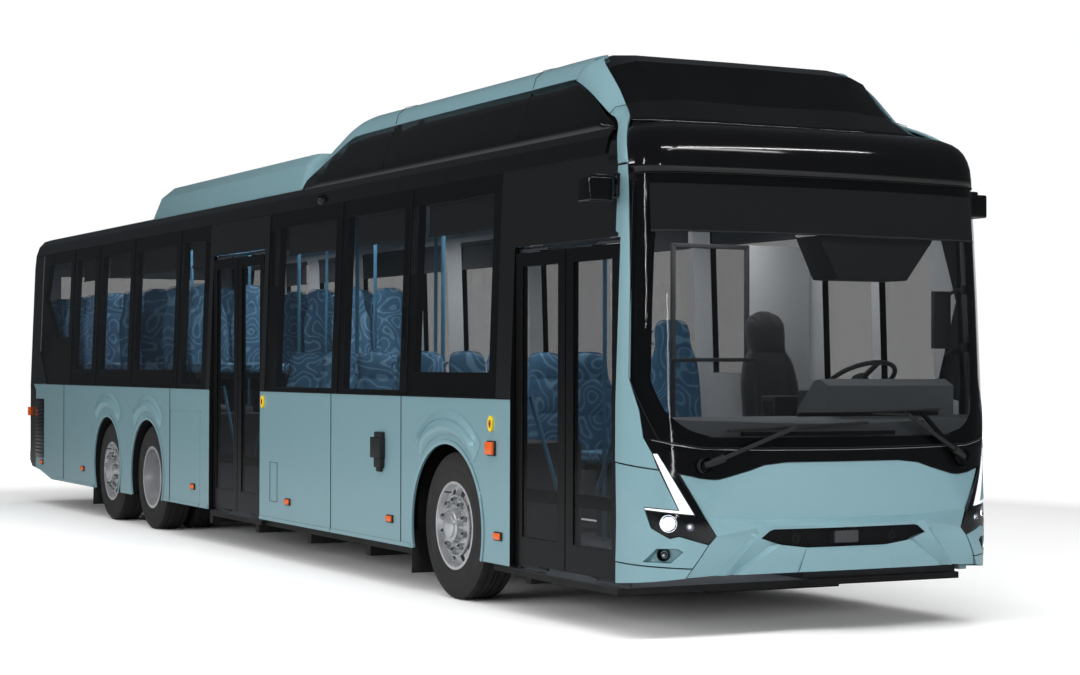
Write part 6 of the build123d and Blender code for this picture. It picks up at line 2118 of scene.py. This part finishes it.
class BUS_OT_seats(bpy.types.Operator):
    """Upholsters the passengers' and the driver's seats, as padded cloth forms"""
    bl_idname = "bus.seats"
    bl_label = "Seats"

    def execute(self, context):
        cushion = self.cushion("cushion", finish("seat_cloth"), 0.203, -0.610, -0.205, -0.102, 2200)
        # front and rear faces of the back at its foot and its head
        back = self.back("back", finish("seat_cloth"), BACK_OUTLINE, (-0.182, -0.118),
                         (-0.062, -0.008), 0.742, 4200)
        shell = self.shell(BACK_OUTLINE)
        piping = self.piping(BACK_OUTLINE)
        parts = [(cushion, finish("seat_cloth")), (back, finish("seat_cloth")),
                 (piping, finish("dark_cloth")), (shell, finish("dark_plastic"))]
        tops = {row: LOW_TOP for row in LOW_ROWS} | {row: HIGH_TOP for row in HIGH_ROWS}
        groups = {}
        for row, top in tops.items():
            for side, word in SIDES:
                for x in (0.518, 0.942):
                    kind = "low" if top == LOW_TOP else "high"
                    groups.setdefault(f"seats_{word}_{kind}", []).append((side * x, row, top))
        groups["seats_last_row"] = [(x, LAST_ROW, HIGH_TOP)
                                    for x in (-0.924, -0.462, 0, 0.462, 0.924)]
        groups["seats_wheel_box"] = [(0.800, WHEEL_BOX_ROW, WHEEL_BOX_TOP)]
        for name, spots in groups.items():
            made = copies(name, parts, [Matrix.Translation((x, aft(d), z)) for x, d, z in spots])
            place(made, "bus", "seat_fabric", "passenger_seats")
        seat = self.cushion("driver_cushion", finish("dark_cloth"), 0.232, -0.445, -0.010, -0.100,
                            3600)
        rest = self.back("driver_back", finish("dark_cloth"), DRIVER_OUTLINE, (0.010, 0.085),
                         (0.142, 0.208), 0.912, 7000)
        parts = [(seat, finish("dark_cloth")), (rest, finish("dark_cloth"))]
        made = copies("driver_upholstery", parts, [Matrix.Translation((0.600, aft(1.65), 1.105))])
        rear_half, sink = aft(1.652), 0.055     # the back stands lower than the cushion's top
        for vertex in made.data.vertices:
            if vertex.co.y > rear_half:
                vertex.co.z -= sink
        place(made, "bus", "seat_fabric", "drivers_seat")
        return {"FINISHED"}

    def cushion(self, name, cloth, half, fore, rear, low, faces):
        """The seat, with a bolster at each side and a welt round its edge."""
        rows = []
        for level, grow in ((low, -0.03), (low + 0.012, -0.006), (-0.035, 0), (-0.012, -0.008),
                            (-0.003, -0.03)):
            rows.append(loop_at(half + grow, fore - grow, rear + grow, level, 0.05))
        seams = [lambda p: abs(p.x) - half * 0.66 if p.z > -0.03 else 1,
                 lambda p: p.y - fore - 0.13 if p.z > -0.03 and abs(p.x) < half * 0.66 else 1,
                 lambda p: p.z + 0.040]
        return cushioned(name, cloth, rows, seams, lambda p: p.z < low + 0.012, faces)

    def back(self, name, cloth, outline, foot, head, top, faces):
        """The back and head rest, with side bolsters, sewn channels and a welt."""
        start = outline[0][1]
        rows = []
        for i in range(25):
            level = start + (top - start) * i / 24
            share = i / 24
            fore = foot[0] + (head[0] - foot[0]) * share
            rear = foot[1] + (head[1] - foot[1]) * share
            ends = 0.014 * (max(0, 1 - i / 2) + max(0, (i - 22) / 2))
            rows.append(loop_at(outline_at(outline, level) - ends, fore + ends, rear - ends, level,
                                0.028))

        def middle(p):
            """Where the middle of the back's thickness lies at a point's height."""
            share = (p.z - start) / (top - start)
            return (foot[0] + foot[1] + (head[0] + head[1] - foot[0] - foot[1]) * share) / 2
        neck = outline[4][1]
        seams = [lambda p: p.y - middle(p) if abs(p.x) > outline_at(outline, p.z) - 0.02 else 1,
                 lambda p: p.z - neck - 0.01 if p.y < middle(p) else 1,
                 lambda p: abs(p.x) - 0.125 if p.y < middle(p) and 0.02 < p.z < neck else 1,
                 lambda p: p.z - 0.26 if p.y < middle(p) and abs(p.x) < 0.125 else 1]
        return cushioned(name, cloth, rows, seams, lambda p: p.y > middle(p) + 0.012, faces)

    def edge(self, outline, foot=(-0.182, -0.118), head=(-0.062, -0.008)):
        """The welt's path round the back, at the middle of its thickness."""
        start, top = outline[0][1], outline[-1][1]
        path = []
        for half, level in outline:
            share = (level - start) / (top - start)
            y = (sum(foot) + (sum(head) - sum(foot)) * share) / 2
            path.append(Vector((half - 0.003, y, level)))
        return [Vector((-p.x, p.y, p.z)) for p in path] + path[::-1]

    def piping(self, outline):
        """The sewn welt round a back."""
        welt = Shape().tube(self.edge(outline), sizes().piping / 2, sides=6)
        return mesh_of(welt.piece("piping", [finish("dark_cloth")]))

    def shell(self, outline):
        """The moulded shell behind a back, with the handle at its aisle shoulder."""
        rows = []
        for half, level in outline[:5]:
            share = (level + 0.055) / 0.797
            y = -0.118 + 0.110 * share
            rows.append([Vector((x, y + off, level)) for x, off in
                         ((-half + 0.02, -0.004), (-half + 0.04, 0.006), (0, 0.008),
                          (half - 0.04, 0.006), (half - 0.02, -0.004))])
        shape = Shape().grid(rows, 0)
        shape.tube([(-0.150, -0.035, 0.56), (-0.172, -0.020, 0.585), (-0.172, -0.016, 0.640),
                    (-0.148, -0.026, 0.665)], 0.008, sides=8)
        return mesh_of(shape.piece("shell", [finish("dark_plastic")]))


class BUS_OT_cabin(bpy.types.Operator):
    """Finishes the cabin's fittings and adds the driver's instruments"""
    bl_idname = "bus.cabin"
    bl_label = "Cabin"

    def execute(self, context):
        dress("seat_frames", "dark_plastic")
        dress("dashboard", "pad_grey")
        self.partition()
        dress("steering_wheel", "dark_plastic")
        dress("grab_rails", "rail_coat")
        self.instruments()
        self.monitor()
        self.ticket_box()
        return {"FINISHED"}

    def partition(self):
        """The wall behind the driver, glazed towards the aisle, and the gate beside the seat."""
        low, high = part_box("driver_partition")
        rear, fore = high.y, low.y
        sill = 1.15                     # where the wall ends and the glass starts
        solid, glass, edging = Shape(), Shape(), Shape()
        solid.box((low.x + 0.03, rear - 0.030, low.z), (1.205, rear - 0.004, sill))
        solid.box((0.660, rear - 0.030, sill), (1.165, rear - 0.004, high.z))
        edging.box((low.x, fore, low.z), (low.x + 0.030, rear, sill))
        glass.box((low.x + 0.05, rear - 0.020, sill), (0.660, rear - 0.014, high.z - 0.02))
        glass.box((low.x + 0.012, fore + 0.05, sill), (low.x + 0.018, rear - 0.03, 1.62))
        for x in (low.x + 0.035, 0.655):
            edging.box((x - 0.014, rear - 0.032, sill), (x + 0.014, rear - 0.002, high.z))
        edging.box((low.x + 0.03, rear - 0.032, high.z - 0.03), (0.655, rear - 0.002, high.z))
        edging.box((low.x + 0.006, fore + 0.03, 1.615), (low.x + 0.024, rear - 0.03, 1.640))
        fix(solid, "partition_wall", "cabin_lining", "dark_plastic", "driver_partition", bevel=0.004)
        fix(edging, "partition_frame", "dark_plastic", "dark_plastic", "driver_partition", bevel=0.004)
        fix(glass, "partition_glass", "clear_lens", "tinted_glass", "driver_partition")

    def instruments(self):
        """Binnacle with its dials, the small console beside it and a thin shelf on the door side of the
        dash.
        """
        shape = Shape()
        hood = [[(0.36, 0.50, 1.28), (0.84, 0.50, 1.28), (0.84, 0.80, 1.28), (0.36, 0.80, 1.28)],
                [(0.37, 0.52, 1.40), (0.83, 0.52, 1.40), (0.83, 0.74, 1.44), (0.37, 0.74, 1.44)],
                [(0.42, 0.56, 1.435), (0.78, 0.56, 1.435), (0.78, 0.72, 1.475), (0.42, 0.72, 1.475)]]
        shape.grid([[Vector((x, aft(d), z)) for x, d, z in row] for row in hood], 0, closed=True,
                   caps=True)
        shape.box((0.08, aft(0.46), 1.28), (0.28, aft(0.66), 1.44))
        shape.box((-0.98, aft(0.28), 1.262), (-0.30, aft(0.42), 1.285))
        fix(shape, "binnacle", "dark_plastic", "dark_plastic", bevel=0.012, segments=3)
        faces = Shape()
        for x in (0.50, 0.70):
            faces.lathe([(0.0, 0.0), (0.0, 0.052), (0.006, 0.056), (0.0, 0.060), (-0.004, 0.060)],
                        32, 0, "Y", (x, aft(0.742), 1.400))
        faces.box((0.565, aft(0.738), 1.365), (0.635, aft(0.746), 1.435))
        faces.box((0.10, aft(0.655), 1.31), (0.26, aft(0.664), 1.42))
        fix(faces, "dials", "screen_dark", "dark_plastic")

    def monitor(self):
        """One screen in its housing on two arms at the driver's pillar, and a post at the door-side
        pillar.
        """
        arms, screens = Shape(), Shape()
        for z, x in ((2.02, 1.10), (1.66, 1.10)):
            arms.tube([(1.165, aft(0.40), z + 0.05), (1.13, aft(0.44), z + 0.05),
                       (x - 0.01, aft(0.50), z)], 0.011, sides=10)
            arms.lathe([(-0.03, 0.0), (-0.03, 0.022), (0.03, 0.022), (0.03, 0.0)], 16, 0, "Z",
                       (1.163, aft(0.40), z + 0.05))
        arms.box((0.985, aft(0.470), 1.70), (1.115, aft(0.505), 2.06))
        screens.box((0.995, aft(0.504), 1.72), (1.105, aft(0.508), 2.04))
        arms.tube([(-1.10, aft(0.52), 1.80), (-1.10, aft(0.52), 2.24)], 0.012, sides=10)
        fix(arms, "pillar_monitor", "dark_plastic", "dark_plastic", bevel=0.006)
        fix(screens, "monitor_screen", "screen_dark", "dark_plastic")

    def ticket_box(self):
        """The ticket machine on its post beside the driver's gate, with its reader."""
        x, d = 0.20, 1.02
        shape = Shape()
        shape.box((x - 0.09, aft(d - 0.07), 1.10), (x + 0.09, aft(d + 0.09), 1.40))
        shape.tube([(x, aft(d), 0.292), (x, aft(d), 1.12)], 0.022, sides=14)
        shape.lathe([(0.0, 0.07), (0.012, 0.068), (0.014, 0.03)], 24, 0, "Z", (x, aft(d), 0.291))
        fix(shape, "ticket_machine", "dark_plastic", "dark_plastic", bevel=0.01, segments=3)
        screen = Shape().box((x - 0.095, aft(d - 0.04), 1.25), (x - 0.0905, aft(d + 0.06), 1.37))
        fix(screen, "ticket_screen", "screen_dark", "dark_plastic")


# ------------------------------------------------------------------ panel and running
STEPS = (BUS_OT_studio, BUS_OT_coachwork, BUS_OT_nose, BUS_OT_roof, BUS_OT_glazing, BUS_OT_doors,
         BUS_OT_running_gear, BUS_OT_trim, BUS_OT_cabin, BUS_OT_seats)


class BUS_PT_builder(bpy.types.Panel):
    """Lists the colours, the sizes and every step"""
    bl_idname = "BUS_PT_builder"
    bl_label = "Intercity bus"
    bl_space_type = "VIEW_3D"
    bl_region_type = "UI"
    bl_category = "Bus"

    def draw(self, context):
        column = self.layout.column(align=True)
        for group in (context.scene.bus_colours, context.scene.bus_sizes):
            for key in group.__annotations__:
                column.prop(group, key)
            column.separator()
        for step in STEPS:
            column.operator(step.bl_idname)


CLASSES = (BusColours, BusSizes, *STEPS, BUS_PT_builder)


def register():
    """Registers the classes, and gives the scene its colours and sizes."""
    for cls in CLASSES:
        bpy.utils.register_class(cls)
    bpy.types.Scene.bus_colours = bpy.props.PointerProperty(type=BusColours)
    bpy.types.Scene.bus_sizes = bpy.props.PointerProperty(type=BusSizes)


def unregister():
    """Takes back what register() did."""
    del bpy.types.Scene.bus_sizes
    del bpy.types.Scene.bus_colours
    for cls in reversed(CLASSES):
        bpy.utils.unregister_class(cls)


def main():
    """Runs every step in order."""
    register()
    for step in STEPS:
        group, name = step.bl_idname.split(".")
        if getattr(getattr(bpy.ops, group), name)() != {"FINISHED"}:
            raise RuntimeError(f"{step.bl_idname} didn't finish")


if __name__ == "__main__":
    main()
